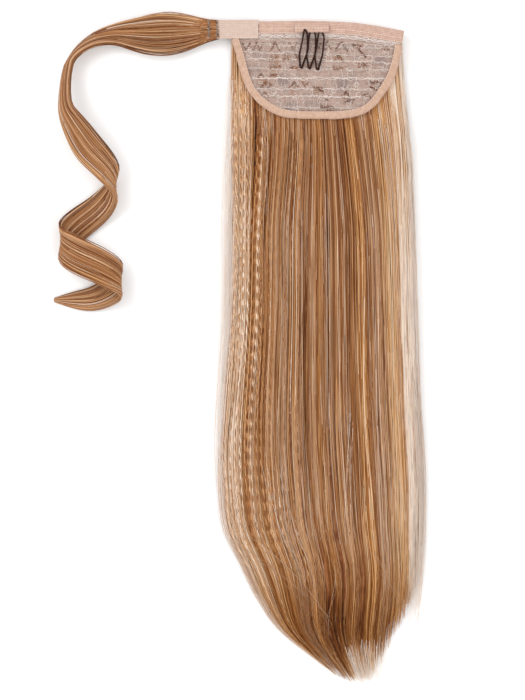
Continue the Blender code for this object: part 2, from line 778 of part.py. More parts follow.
for old in list(bpy.data.objects):
    bpy.data.objects.remove(old)

collection = bpy.data.collections.new("ponytail_hairpiece")
cutters = bpy.data.collections.new("cutters")
bpy.context.scene.collection.children.link(collection)
bpy.context.scene.collection.children.link(cutters)
root = bpy.data.objects.new("hairpiece", None)
collection.objects.link(root)

build_hair()
build_net()
build_edge_binding()
build_top_band()
build_hook_tape()
build_comb()
build_comb_patch()
for number, share in enumerate(WEFT_ROWS, start=1):
    build_weft_track(number, share)
build_wrap_strand()
place_origin()
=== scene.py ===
# %% [markdown]
# # A wrap-around ponytail, lying flat
# The real piece is half a metre of mixed brown and blonde hair under a small D-shaped base.
# The base is a lace net with a folded tape round its edge, a wire comb that grips the wearer's
# own hair, and a strip of hook tape. A loose strand starts at that strip and is wound round
# the wearer's own hair to hide it. We see the side that lies against the head.
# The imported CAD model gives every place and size. This script dresses it.

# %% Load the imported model
from math import pi

import bmesh
import bpy
import numpy as np
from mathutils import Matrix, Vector


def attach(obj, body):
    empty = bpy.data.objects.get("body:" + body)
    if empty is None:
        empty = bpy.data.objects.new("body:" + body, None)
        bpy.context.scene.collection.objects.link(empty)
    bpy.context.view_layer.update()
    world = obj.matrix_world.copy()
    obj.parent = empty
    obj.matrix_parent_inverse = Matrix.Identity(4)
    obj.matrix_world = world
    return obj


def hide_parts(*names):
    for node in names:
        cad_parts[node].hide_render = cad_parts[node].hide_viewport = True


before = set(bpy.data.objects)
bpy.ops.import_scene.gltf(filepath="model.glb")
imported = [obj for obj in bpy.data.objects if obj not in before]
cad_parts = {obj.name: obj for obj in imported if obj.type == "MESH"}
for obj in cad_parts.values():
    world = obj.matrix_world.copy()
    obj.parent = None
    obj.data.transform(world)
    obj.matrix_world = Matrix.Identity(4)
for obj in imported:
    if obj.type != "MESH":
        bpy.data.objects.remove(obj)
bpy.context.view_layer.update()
MM = 0.001

# %% [markdown]
# ## Camera, floor and light
# The piece was laid on white and taken from straight above, so a camera that looks down its
# own axis needs no turning. A long lens keeps the sides of the 2 cm thick hair out of sight.
# One pixel of a 700 pixel high picture is 0.76 mm on the floor.

# %% Camera
PIXEL = 0.76 * MM
PICTURE_HEIGHT = 700                # pixels
PICTURE_MIDDLE = (0.0186, -0.0011)  # the frame's x and y under the middle of the picture
CAMERA_HEIGHT = 2.2
SENSOR = 36.0
camera_data = bpy.data.cameras.new("camera_above")
camera_data.sensor_width = SENSOR
camera_data.lens = SENSOR * CAMERA_HEIGHT / (PICTURE_HEIGHT * PIXEL)
camera = bpy.data.objects.new("camera_above", camera_data)
camera.location = (*PICTURE_MIDDLE, CAMERA_HEIGHT)
bpy.context.scene.collection.objects.link(camera)
bpy.context.scene.camera = camera
print("lens %.1f mm" % camera_data.lens)

# %% [markdown]
# The floor is plain and near white. A white world lights everything evenly, and two large
# area lights add a little direction, so that strands and threads keep a light side.

# %% Floor and lights
FLOOR_SIZE = 6.0
FLOOR_LEVEL = -0.0004       # just under the piece, so that the two share no plane
LIGHT_AIM = Vector((0.03, 0.0, 0.0))
bpy.ops.mesh.primitive_plane_add(size=FLOOR_SIZE, location=(0, 0, FLOOR_LEVEL))
floor = bpy.context.object
floor.name = "floor"
floor_paint = bpy.data.materials.new("floor_white")
floor_paint.use_nodes = True
floor_finish = floor_paint.node_tree.nodes["Principled BSDF"]
floor_finish.inputs["Base Color"].default_value = (0.98, 0.98, 0.98, 1)
floor_finish.inputs["Roughness"].default_value = 0.9
floor.data.materials.append(floor_paint)


def soft_light(name, place, size, power):
    """A large square light that points at the middle of the hair."""
    data = bpy.data.lights.new(name, "AREA")
    data.size = size
    data.energy = power
    light = bpy.data.objects.new(name, data)
    light.location = place
    aim = LIGHT_AIM - Vector(place)
    light.rotation_euler = aim.to_track_quat("-Z", "Y").to_euler()
    bpy.context.scene.collection.objects.link(light)


soft_light("light_left", (-1.5, 0.9, 1.8), 1.2, 20)
soft_light("light_right", (1.3, -0.6, 1.9), 1.4, 10)
world = bpy.data.worlds.new("white_studio")
world.use_nodes = True
world.node_tree.nodes["Background"].inputs["Color"].default_value = (1, 1, 1, 1)
world.node_tree.nodes["Background"].inputs["Strength"].default_value = 0.97
bpy.context.scene.world = world
bpy.context.scene.view_settings.view_transform = "Standard"

# %% [markdown]
# ## The shapes that everything follows
# Three smooth tables describe the real piece: the sides and thickness of the hair down its
# length, the locks across it, and the outline of the base. The CAD model was drawn from the
# same numbers, so what we lay on these shapes sits where the CAD says. Only the tables of the
# loose strand, further down, have moved a few millimetres from the CAD's.
# A drawing starts at the middle of the base's straight edge; PLACE moves it into the frame.

# %% A smooth curve through a table
PLACE = np.array((70.7, 248.2, 0.0)) * MM


def read_table(rows, at):
    """The other columns of a table where its first column is at, on a smooth curve."""
    table = np.array(rows, float)
    at = np.clip(np.asarray(at, float), table[0, 0], table[-1, 0])
    i = np.clip(np.searchsorted(table[:, 0], at) - 1, 0, len(table) - 2)
    before = table[np.maximum(i - 1, 0)]
    start = table[i]
    end = table[i + 1]
    after = table[np.minimum(i + 2, len(table) - 1)]
    step = end[..., :1] - start[..., :1]
    t = (at[..., None] - start[..., :1]) / step
    leave = (end - before) / (end[..., :1] - before[..., :1]) * step
    arrive = (after - start) / (after[..., :1] - start[..., :1]) * step
    mixed = ((2 * t**3 - 3 * t**2 + 1) * start + (t**3 - 2 * t**2 + t) * leave
             + (3 * t**2 - 2 * t**3) * end + (t**3 - t**2) * arrive)
    return np.moveaxis(mixed[..., 1:], -1, 0)


def smooth_step(at, start, end):
    """0 before start, 1 after end, and an even rise between."""
    t = np.clip((np.asarray(at, float) - start) / (end - start), 0, 1)
    return t * t * (3 - 2 * t)


def distance_along(line):
    """How far along a line each of its points lies."""
    return np.concatenate(([0], np.cumsum(np.linalg.norm(np.diff(line, axis=0), axis=1))))


# %% The hair's sides, thickness and locks
HAIR_LENGTH = 503.0 * MM
HAIR_WIDTH = 141.0 * MM
HAIR_THICKNESS = 19.0 * MM
HAIR_CROWN = 2.5 * MM
HAIR_EDGE = 3.0 * MM
HAIR_ROUNDING = 14.0 * MM
HAIR_TIP = 1.6 * MM
HAIR_START = 2.2 * MM
ROOT_LEFT = -76.0           # mm, the hair's left side at its root
ROOT_WIDTH = 129.2          # mm
LOCK_DEPTH = 2.4 * MM
THICKNESS_DOWN = (
    # share of the length, share of the greatest thickness
    (0.00, 0.300), (0.03, 0.410), (0.08, 0.640), (0.12, 0.820), (0.19, 0.980), (0.27, 1.000),
    (0.41, 0.960), (0.49, 0.910), (0.57, 0.860), (0.65, 0.790), (0.72, 0.720), (0.80, 0.620),
    (0.87, 0.520), (1.00, 0.360))
HAIR_SIDES = (
    # mm down, left side, right side, where the strands of the right side would go on to
    (0, -76.0, 53.2, 53.2), (50, -76.0, 56.0, 56.0), (95, -75.6, 60.5, 60.5),
    (150, -74.8, 61.5, 61.5), (205, -75.5, 63.0, 63.0), (245, -77.5, 64.5, 64.5),
    (290, -81.5, 66.0, 66.0), (325, -83.8, 67.8, 67.8), (355, -82.8, 68.4, 68.6),
    (386, -79.0, 68.2, 68.6), (414, -65.4, 66.0, 68.0), (441, -51.0, 60.5, 66.5),
    (462, -36.5, 50.5, 64.5), (482, -13.7, 40.0, 61.0), (495, 2.0, 33.0, 57.0),
    (503, 10.0, 27.0, 54.0))
LOCK_EDGES = (0.00, 0.10, 0.20, 0.31, 0.42, 0.53, 0.64, 0.75, 0.88, 1.00)
LOCK_STRENGTHS = np.array((0.8, 0.9, 0.8, 1.1, 1.3, 0.9, 1.1, 0.8, 0.7))
BASE_WIDTH = 131.5 * MM
BASE_DEPTH = 75.3 * MM
BASE_MIDDLE = 0.58
BASE_TOP = ((0.000, 0.000), (0.250, 0.000), (0.452, 0.000), (0.672, 0.013), (0.822, 0.045),
            (1.000, 0.097))


def straight_edge(x):
    """How far down the base's straight edge lies at a place across it."""
    return read_table(BASE_TOP, x / BASE_WIDTH + BASE_MIDDLE)[0] * BASE_DEPTH


def hair_top(x, y):
    """Height of the hair's upper side, without its locks and rounded sides."""
    along = np.clip(-np.asarray(y, float) / HAIR_LENGTH, 0, 1)
    sideways = np.clip(np.abs(2 * np.asarray(x, float) / HAIR_WIDTH), 0, 1)
    thickness = read_table(THICKNESS_DOWN, along)[0] * HAIR_THICKNESS
    return thickness - HAIR_CROWN * np.sin(pi / 2 * sideways) ** 2


def over_hair(x, y, level):
    """Points in the frame at a height over the hair's upper side."""
    x, y, level = np.broadcast_arrays(x, y, level)
    return np.stack((x, y, hair_top(x, y) + level), axis=-1) + PLACE


# %% Any point of the hair's upper side
LOCK_DRIFT = 0.035          # how far the middle locks move to the right on their way down
GATHER_START = 400 * MM     # below this the ends are drawn together at the tip
GATHER = 1.25
FAN = 0.05                  # how far hair fans out once it leaves the base


def hair_height(x, down, lock_share):
    """Height of the hair's upper side over a place, with its locks and rounded sides."""
    left, right, _ = read_table(HAIR_SIDES, down / MM) * MM
    lock = np.interp(lock_share, LOCK_EDGES, range(10))
    i = np.minimum(lock.astype(int), 8)
    valley = LOCK_STRENGTHS[i] * (1 - np.sin(pi * (lock - i))) ** 1.5
    valley = valley * smooth_step(down, 0.03 * HAIR_LENGTH, 0.3 * HAIR_LENGTH)
    rounding = np.clip(np.minimum(x - left, right - x) / HAIR_ROUNDING, 0, 1)
    rounding = np.sqrt(1 - (1 - rounding) ** 2)
    ending = (1 - smooth_step(down, 0.84 * HAIR_LENGTH, HAIR_LENGTH)) * rounding
    side = HAIR_TIP + (HAIR_EDGE - HAIR_TIP) * (1 - smooth_step(down, 0.8 * HAIR_LENGTH,
                                                                HAIR_LENGTH))
    return side + (hair_top(x, -down) - LOCK_DEPTH * valley - side) * ending


def hair_flow(across, down):
    """Where a strand runs: its x at a distance down, from its share across at the root."""
    left, _, right = read_table(HAIR_SIDES, down / MM) * MM
    drift = LOCK_DRIFT * np.sin(pi * across) * smooth_step(down, 0.45 * HAIR_LENGTH,
                                                           0.8 * HAIR_LENGTH)
    fan = FAN * np.sin(2 * pi * across) * (1 - smooth_step(down, 70 * MM, 170 * MM))
    lowest = np.clip((down - GATHER_START) / (HAIR_LENGTH - GATHER_START), 0, 1)
    return left + (right - left) * (across + drift + fan) ** (1 + GATHER * lowest ** 2.3)


def hair_place(across, down):
    """Points of the hair's upper side, from shares across at the root and distances down."""
    across, down = np.broadcast_arrays(np.clip(across, 0, 1), np.minimum(down, HAIR_LENGTH))
    x = hair_flow(across, down)
    return np.stack((x, -down, hair_height(x, down, across)), axis=-1) + PLACE


def hair_start(across):
    """How far down the drawing the hair begins: just under the base's straight edge."""
    return straight_edge((ROOT_LEFT + ROOT_WIDTH * across) * MM) + HAIR_START


middle_top = hair_place(0.5, 0.4 * HAIR_LENGTH)
print("hair at 40% of its length, mm:", np.round(middle_top / MM, 1))

# %% [markdown]
# ## Colour of the hair
# Mixed hair is many strands that are each one colour. A strand's colour needs two numbers:
# tone, from dark brown to pale blonde, and warmth, from ash to gold. One node group turns
# them into a colour, and every hair material uses it: strands bring the numbers as
# attributes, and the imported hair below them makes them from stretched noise.

# %% A short way to place nodes
def add_node(tree, kind, inputs=None, **settings):
    """A node with its settings, and its inputs set or linked."""
    node = tree.nodes.new(kind)
    for key, value in settings.items():
        setattr(node, key, value)
    for key, value in (inputs or {}).items():
        if isinstance(value, bpy.types.NodeSocket):
            tree.links.new(value, node.inputs[key])
        else:
            node.inputs[key].default_value = value
    return node


def new_group(name, inputs, outputs, tree_kind="ShaderNodeTree"):
    """An empty tree of nodes with named sockets. Returns it, its input and its output node."""
    tree = bpy.data.node_groups.new(name, tree_kind)
    for direction, sockets in (("INPUT", inputs), ("OUTPUT", outputs)):
        for label, kind, value in sockets:
            socket = tree.interface.new_socket(name=label, in_out=direction,
                                               socket_type="NodeSocket" + kind)
            if value is not None:
                socket.default_value = value
    return tree, tree.nodes.new("NodeGroupInput"), tree.nodes.new("NodeGroupOutput")


def from_bytes(red, green, blue):
    """A colour as it is read off a screen, 0 to 255, made linear."""
    parts = [((c / 255 + 0.055) / 1.055) ** 2.4 if c > 10 else c / 255 / 12.92
             for c in (red, green, blue)]
    return (*parts, 1.0)


def ramp(tree, factor, stops):
    """A colour ramp through stops of a place and a colour from 0 to 255."""
    node = add_node(tree, "ShaderNodeValToRGB", {"Fac": factor})
    elements = node.color_ramp.elements
    while len(elements) < len(stops):
        elements.new(0.5)
    for element, (place, colour) in zip(elements, stops):
        element.position = place
        element.color = from_bytes(*colour)
    return node.outputs["Color"]


# %% The colour group of the hair
ASH_SHADES = ((0.0, (48, 18, 4)), (0.25, (110, 63, 34)), (0.5, (168, 121, 87)),
              (0.75, (212, 177, 150)), (1.0, (246, 232, 222)))
GOLD_SHADES = ((0.0, (58, 20, 2)), (0.25, (132, 70, 22)), (0.5, (188, 125, 64)),
               (0.75, (225, 174, 114)), (1.0, (248, 224, 190)))
hair_shade, shade_in, shade_out = new_group(
    "hair_shade", (("Tone", "Float", 0.5), ("Warmth", "Float", 0.5)),
    (("Colour", "Color", None), ("Gloss mask", "Float", None)))
shade_mix = add_node(hair_shade, "ShaderNodeMix",
                     {"Factor": shade_in.outputs["Warmth"]}, data_type="RGBA")
for side, shades in (("A", ASH_SHADES), ("B", GOLD_SHADES)):
    hair_shade.links.new(ramp(hair_shade, shade_in.outputs["Tone"], shades),
                         shade_mix.inputs[side])
hair_shade.links.new(shade_mix.outputs["Result"], shade_out.inputs["Colour"])
shade_gloss = add_node(hair_shade, "ShaderNodeMapRange",
                       {"Value": shade_in.outputs["Tone"], "To Min": 0.34, "To Max": 0.56})
hair_shade.links.new(shade_gloss.outputs["Result"], shade_out.inputs["Gloss mask"])
print("hair_shade:", len(hair_shade.nodes), "nodes")


# %% Material of separate strands
def new_material(name, **sockets):
    """A material with one Principled shader. Returns the tree and the shader."""
    made = bpy.data.materials.new(name)
    made.use_nodes = True
    shader = made.node_tree.nodes["Principled BSDF"]
    for key, value in sockets.items():
        shader.inputs[key.replace("_", " ")].default_value = value
    return made, made.node_tree, shader


def dress(tree, shader, colour, roughness=None, height=None, strength=0.5, distance=MM):
    """Feeds a shader its colour and, where they are given, its roughness and a bump."""
    tree.links.new(colour, shader.inputs["Base Color"])
    if roughness is not None:
        tree.links.new(roughness, shader.inputs["Roughness"])
    if height is not None:
        bump = add_node(tree, "ShaderNodeBump",
                        {"Height": height, "Strength": strength, "Distance": distance})
        tree.links.new(bump.outputs["Normal"], shader.inputs["Normal"])


def strand_finish(name, specular):
    """Hair whose strands carry their own tone and warmth."""
    made, tree, shader = new_material(name, Specular_IOR_Level=specular)
    tone = add_node(tree, "ShaderNodeAttribute", attribute_name="tone")
    warmth = add_node(tree, "ShaderNodeAttribute", attribute_name="warmth")
    shade = add_node(tree, "ShaderNodeGroup",
                     {"Tone": tone.outputs["Fac"], "Warmth": warmth.outputs["Fac"]},
                     node_tree=hair_shade)
    dress(tree, shader, shade.outputs["Colour"], shade.outputs["Gloss mask"])
    return made


hair_strand_finish = strand_finish("hair_strands", 0.2)


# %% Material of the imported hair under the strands
def packed_hair_finish(name, tone, warmth, fine, long):
    """Hair seen as fine streaks down one direction, on Object coordinates."""
    made, tree, shader = new_material(name, Specular_IOR_Level=0.25)
    place = add_node(tree, "ShaderNodeTexCoord").outputs["Object"]
    streaks = []
    for size, detail in ((fine, 3.0), (fine * 0.12, 2.0)):
        stretched = add_node(tree, "ShaderNodeMapping",
                             {"Vector": place, "Scale": (size, long, size)})
        noise = add_node(tree, "ShaderNodeTexNoise",
                         {"Vector": stretched.outputs["Vector"], "Scale": 1.0,
                          "Detail": detail, "Roughness": 0.6})
        streaks.append(noise.outputs["Fac"])
    tones = add_node(tree, "ShaderNodeMapRange",
                     {"Value": streaks[0], "From Min": 0.3, "From Max": 0.7,
                      "To Min": tone - 0.2, "To Max": tone + 0.2})
    warmths = add_node(tree, "ShaderNodeMapRange",
                       {"Value": streaks[1], "From Min": 0.35, "From Max": 0.65,
                        "To Min": warmth - 0.3, "To Max": warmth + 0.3})
    shade = add_node(tree, "ShaderNodeGroup",
                     {"Tone": tones.outputs["Result"], "Warmth": warmths.outputs["Result"]},
                     node_tree=hair_shade)
    dress(tree, shader, shade.outputs["Colour"], shade.outputs["Gloss mask"],
          streaks[0], 0.5, 0.0008)
    return made


# Painted shade: a low tone darkens the packed hair, as the inner hair lies in shade under the
# strands.
packed_finish = packed_hair_finish("packed_hair", 0.27, 0.6, 900.0, 9.0)


# %% [markdown]
# ## The imported hair
# Under the strands that we can tell apart lies hair so dense that it reads as one body. It is
# a closed form: the CAD's upper side, a little lower, and a grooved underside that rests on
# the floor. It ends before the strands do, so that their ends stay loose. Its tone is lower
# than the strands': painted shade of the inner hair under and between them.

# %% Helpers that make and hand over a piece
def mesh_piece(name, points, faces, finish):
    """A smooth closed mesh object from points and faces, with its faces turned outwards."""
    mesh = bpy.data.meshes.new(name)
    mesh.from_pydata([tuple(p) for p in points], [], faces)
    mesh.validate()
    mesh.materials.append(finish)
    mesh.polygons.foreach_set("use_smooth", [True] * len(mesh.polygons))
    work = bmesh.new()
    work.from_mesh(mesh)
    bmesh.ops.recalc_face_normals(work, faces=work.faces)
    work.to_mesh(mesh)
    work.free()
    piece = bpy.data.objects.new(name, mesh)
    bpy.context.scene.collection.objects.link(piece)
    return piece


def hand_over(piece, slot, *nodes):
    """The piece rides on the hairpiece, and stands for CAD nodes where it replaces them."""
    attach(piece, "root")
    if nodes:
        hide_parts(*nodes)
    count = sum(len(face.vertices) - 2 for face in piece.data.polygons)
    print("%-22s %7d triangles" % (piece.name, count))


def grid_faces(rows, columns, closed=False, offset=0, turn=False):
    """Four-sided faces over rows of points. Closed joins the last column to the first."""
    faces = []
    for i in range(rows - 1):
        for j in range(columns if closed else columns - 1):
            k = (j + 1) % columns
            face = (i * columns + j, i * columns + k,
                    (i + 1) * columns + k, (i + 1) * columns + j)
            face = tuple(offset + index for index in face)
            faces.append(face[::-1] if turn else face)
    return faces


def two_sided_faces(rows, columns, turn=False):
    """Faces of a closed sheet: one grid of points, a second that follows it, and the rim."""
    below = rows * columns
    rim = list(range(columns)) + [i * columns + columns - 1 for i in range(1, rows)]
    rim += [(rows - 1) * columns + j for j in reversed(range(columns - 1))]
    rim += [i * columns for i in reversed(range(1, rows - 1))]
    following = rim[1:] + rim[:1]
    pairs = zip(rim, following) if turn else zip(following, rim)
    return (grid_faces(rows, columns, turn=turn)
            + grid_faces(rows, columns, offset=below, turn=not turn)
            + [(a, b, below + b, below + a) for a, b in pairs])


def swept_faces(rings, sides):
    """Faces of a closed section swept along a line, with both ends closed."""
    first_end = tuple(reversed(range(sides)))
    last_end = tuple((rings - 1) * sides + j for j in range(sides))
    return grid_faces(rings, sides, closed=True) + [first_end, last_end]


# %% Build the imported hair
CORE_ROWS = 96
CORE_COLUMNS = 64
CORE_SINK = 1.5 * MM        # how far below the strands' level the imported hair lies
CORE_END = 0.96             # share of the length
CORE_LOWEST = 1.2 * MM      # the upper side never comes closer to the floor
GROOVE = 0.35 * MM
CORE_INSETS = (
    # left and right: mm inside the strands, mm more at the end, share from which that grows
    (1.6, 8, 0.86), (2.2, 9, 0.84))
core_share = np.linspace(0.0, 1.0, CORE_ROWS)[:, None]
core_across = np.linspace(0.0, 1.0, CORE_COLUMNS)[None, :]
core_start = hair_start(core_across)
core_down = core_start + core_share * (CORE_END * HAIR_LENGTH - core_start)
core_left, core_right, _ = read_table(HAIR_SIDES, core_down / MM) * MM
inset_left, inset_right = [(inside + more * smooth_step(core_share, grows_from, 1.0)) * MM
                           for inside, more, grows_from in CORE_INSETS]
core_x = core_left + inset_left + core_across * (
    core_right - inset_right - core_left - inset_left)
top = np.stack((core_x, -core_down, hair_height(core_x, core_down, core_across)),
               axis=-1) + PLACE
grooves = GROOVE * np.sin(core_across * 370 + 1.7 * np.sin(core_share * 9)
                          + 3 * np.sin(core_across * 45))
top[..., 2] = np.maximum(top[..., 2] - CORE_SINK + grooves, CORE_LOWEST)
bottom = top.copy()
bottom[..., 2] = 0.25 * MM * (2 + np.sin(core_across * 330 + 2.2 * np.sin(core_share * 7)))
core_points = np.concatenate((top.reshape(-1, 3), bottom.reshape(-1, 3)))
core_faces = two_sided_faces(CORE_ROWS, CORE_COLUMNS, turn=True)
hair_core = mesh_piece("hair_core", core_points, core_faces, packed_finish)
hand_over(hair_core, "hair", "hair_ponytail")


# %% [markdown]
# ## Strands as a Geometry Nodes tree
# Every strand, thread and wire here is a round thing that follows a line. We draw the lines
# as bare edges and let one tree give them a body: lines become curves, a noise with a seed
# shakes them a little, and a small circle runs along each with the strand's own thickness.
# Three sides are enough for a strand that is less than a pixel wide.

# %% How every tree here starts and ends
def start_tree(name, inputs):
    """An empty tree from geometry to geometry. Returns it, its inputs and its output node."""
    geometry = ("Geometry", "Geometry", None)
    tree, given, result = new_group(name, (geometry, *inputs, ("Finish", "Material", None)),
                                    (geometry,), "GeometryNodeTree")
    return tree, given.outputs, result


def end_tree(tree, geometry, finish, result):
    """Makes instances real, because the export drops them, and sets the material."""
    real = add_node(tree, "GeometryNodeRealizeInstances", {"Geometry": geometry})
    finished = add_node(tree, "GeometryNodeSetMaterial",
                        {"Geometry": real.outputs["Geometry"], "Material": finish})
    tree.links.new(finished.outputs["Geometry"], result.inputs["Geometry"])


# %% The tree that gives lines a round body
def build_line_tree():
    """Lines in, round strands out."""
    tree, given, result = start_tree("round_body_along_lines", (
        ("Thickness", "Float", 1.0), ("Sides", "Int", 3), ("Frizz", "Float", 0.0),
        ("Frizz size", "Float", 0.02), ("Seed", "Float", 1.0)))
    curves = add_node(tree, "GeometryNodeMeshToCurve", {"Mesh": given["Geometry"]})
    place = add_node(tree, "GeometryNodeInputPosition")
    scale = add_node(tree, "ShaderNodeMath", {0: 1.0, 1: given["Frizz size"]},
                     operation="DIVIDE")
    noise = add_node(tree, "ShaderNodeTexNoise",
                     {"Vector": place.outputs["Position"], "W": given["Seed"],
                      "Scale": scale.outputs["Value"], "Detail": 1.0},
                     noise_dimensions="4D")
    centred = add_node(tree, "ShaderNodeVectorMath",
                       {0: noise.outputs["Color"], 1: (0.5, 0.5, 0.5)}, operation="SUBTRACT")
    offset = add_node(tree, "ShaderNodeVectorMath", {0: centred.outputs["Vector"]},
                      operation="SCALE")
    tree.links.new(given["Frizz"], offset.inputs["Scale"])
    shaken = add_node(tree, "GeometryNodeSetPosition",
                      {"Geometry": curves.outputs["Curve"], "Offset": offset.outputs["Vector"]})
    own = add_node(tree, "GeometryNodeInputNamedAttribute", {"Name": "thickness"},
                   data_type="FLOAT")
    thick = add_node(tree, "ShaderNodeMath",
                     {0: own.outputs["Attribute"], 1: given["Thickness"]},
                     operation="MULTIPLY")
    circle = add_node(tree, "GeometryNodeCurvePrimitiveCircle",
                      {"Resolution": given["Sides"], "Radius": 0.5})
    body = add_node(tree, "GeometryNodeCurveToMesh",
                    {"Curve": shaken.outputs["Geometry"],
                     "Profile Curve": circle.outputs["Curve"],
                     "Scale": thick.outputs["Value"], "Fill Caps": True})
    smooth = add_node(tree, "GeometryNodeSetShadeSmooth", {"Geometry": body.outputs["Mesh"]})
    end_tree(tree, smooth.outputs["Geometry"], given["Finish"], result)
    return tree


line_tree = build_line_tree()
print("line tree:", len(line_tree.nodes), "nodes")


# %% Lines with their own thickness, tone and warmth
def lines_mesh(name, lines, values):
    """One mesh of separate edges through lines, an array of points for each line."""
    counts = [len(line) for line in lines]
    points = np.concatenate(lines)
    starts = np.cumsum([0] + counts[:-1])
    edges = np.concatenate([np.stack((np.arange(n - 1), np.arange(1, n)), axis=1) + start
                            for n, start in zip(counts, starts)])
    mesh = bpy.data.meshes.new(name)
    mesh.vertices.add(len(points))
    mesh.vertices.foreach_set("co", points.astype(np.float32).ravel())
    mesh.edges.add(len(edges))
    mesh.edges.foreach_set("vertices", edges.astype(np.int32).ravel())
    along = np.concatenate([np.linspace(0, 1, n) for n in counts])
    number = np.concatenate([np.full(n, i, float) for i, n in enumerate(counts)])
    for label, numbers in dict(values, along=along, number=number).items():
        attribute = mesh.attributes.new(label, "FLOAT", "POINT")
        attribute.data.foreach_set("value", np.asarray(numbers, np.float32).ravel())
    return mesh


# %% [markdown]
# Each strand also gets its own narrow strip in a UV map, so that its colour can be baked
# without the strips of a thousand strands running into each other.

# %% Run the tree and keep a plain mesh
STRIPS_IN_ROW = 400


def set_inputs(modifier, tree, values):
    """Sets a modifier's inputs by the identifiers of the tree's sockets."""
    for item in tree.interface.items_tree:
        if item.item_type == "SOCKET" and item.in_out == "INPUT" and item.name in values:
            modifier[item.identifier] = values[item.name]


def plain_copy(name, mesh, tree, values):
    """The mesh that a tree makes from a mesh, as an object without modifiers."""
    maker = bpy.data.objects.new(name + "_maker", mesh)
    bpy.context.scene.collection.objects.link(maker)
    modifier = maker.modifiers.new("Nodes", "NODES")
    modifier.node_group = tree
    set_inputs(modifier, tree, values)
    bpy.context.view_layer.update()
    graph = bpy.context.evaluated_depsgraph_get()
    made = bpy.data.meshes.new_from_object(maker.evaluated_get(graph))
    bpy.data.objects.remove(maker)
    piece = bpy.data.objects.new(name, made)
    bpy.context.scene.collection.objects.link(piece)
    return piece


def read_points(mesh, label):
    """A point attribute as an array."""
    numbers = np.zeros(len(mesh.vertices), np.float32)
    mesh.attributes[label].data.foreach_get("value", numbers)
    return numbers


def strip_map(mesh, sides):
    """A UV map in which each strand has a strip of its own."""
    number = read_points(mesh, "number")
    along = read_points(mesh, "along")
    rows = int(number.max()) // STRIPS_IN_ROW + 1
    corner = np.arange(len(mesh.vertices)) % sides
    across = (number % STRIPS_IN_ROW + 0.2 + 0.6 * corner / (sides - 1)) / STRIPS_IN_ROW
    up = (number // STRIPS_IN_ROW + 0.03 + 0.94 * along) / rows
    vertex = np.zeros(len(mesh.loops), np.int32)
    mesh.loops.foreach_get("vertex_index", vertex)
    places = np.stack((across[vertex], up[vertex]), axis=1)
    first = np.zeros(len(mesh.polygons), np.int32)
    mesh.polygons.foreach_get("loop_start", first)
    ring = vertex // sides
    is_cap = ring[first] == ring[first + 2]
    places[first[is_cap] + 1, 1] += 0.01 / rows
    layer = mesh.uv_layers.new(name="OFBake")
    layer.data.foreach_set("uv", places.astype(np.float32).ravel())


def line_piece(name, lines, values, finish, sides=3, frizz=0.0, frizz_size=0.02, seed=1.0):
    """Lines made into round strands by the tree, as one finished mesh object."""
    inputs = {"Thickness": 1.0, "Sides": sides, "Frizz": frizz, "Frizz size": frizz_size,
              "Seed": seed, "Finish": finish}
    piece = plain_copy(name, lines_mesh(name, lines, values), line_tree, inputs)
    strip_map(piece.data, sides)
    return piece


# %% [markdown]
# ## Strands of the ponytail
# Hair falls in small tufts. We scatter tufts across the hair, give each its own shade, height
# and slow sideways drift, and scatter strands round each tuft. Across the hair the colours
# change as they do on the real piece: lighter crimped hair at the left, browns in the middle,
# a golden stripe, and pale blonde at the right side.

# %% Colours across the hair
SHADES_ACROSS = (
    # share across, tone, warmth
    (0.000, 0.78, 0.30), (0.030, 0.72, 0.38), (0.055, 0.68, 0.42), (0.080, 0.72, 0.40),
    (0.100, 0.54, 0.60), (0.118, 0.42, 0.65), (0.133, 0.50, 0.50), (0.150, 0.60, 0.45),
    (0.170, 0.48, 0.65), (0.195, 0.46, 0.60), (0.220, 0.52, 0.55), (0.250, 0.56, 0.45),
    (0.290, 0.60, 0.35), (0.320, 0.50, 0.50), (0.345, 0.46, 0.50), (0.370, 0.56, 0.40),
    (0.395, 0.54, 0.40), (0.415, 0.44, 0.55), (0.435, 0.54, 0.45), (0.455, 0.52, 0.40),
    (0.480, 0.50, 0.75), (0.510, 0.38, 0.40), (0.540, 0.47, 0.45), (0.580, 0.42, 0.50),
    (0.620, 0.44, 0.50), (0.660, 0.43, 0.60), (0.690, 0.51, 0.90), (0.715, 0.52, 0.85),
    (0.740, 0.45, 0.60), (0.770, 0.58, 0.28), (0.820, 0.54, 0.35), (0.850, 0.60, 0.70),
    # Pale blonde at the right edge; the tone past 1 there is partly painted light against the
    # shade on its steep side.
    (0.875, 0.70, 0.85), (0.900, 0.74, 0.75), (0.920, 0.74, 0.50), (0.940, 1.00, 0.24),
    (1.000, 1.08, 0.10))
SHADES_DOWN = (
    # share of the length, change of tone, change of warmth
    (0.00, -0.08, 0.05), (0.20, -0.03, 0.05), (0.32, 0.03, 0.02), (0.60, 0.05, 0.00),
    (0.74, 0.07, 0.00), (0.82, 0.04, 0.12), (0.89, -0.09, 0.38), (0.95, -0.11, 0.42),
    (1.00, 0.24, 0.00))
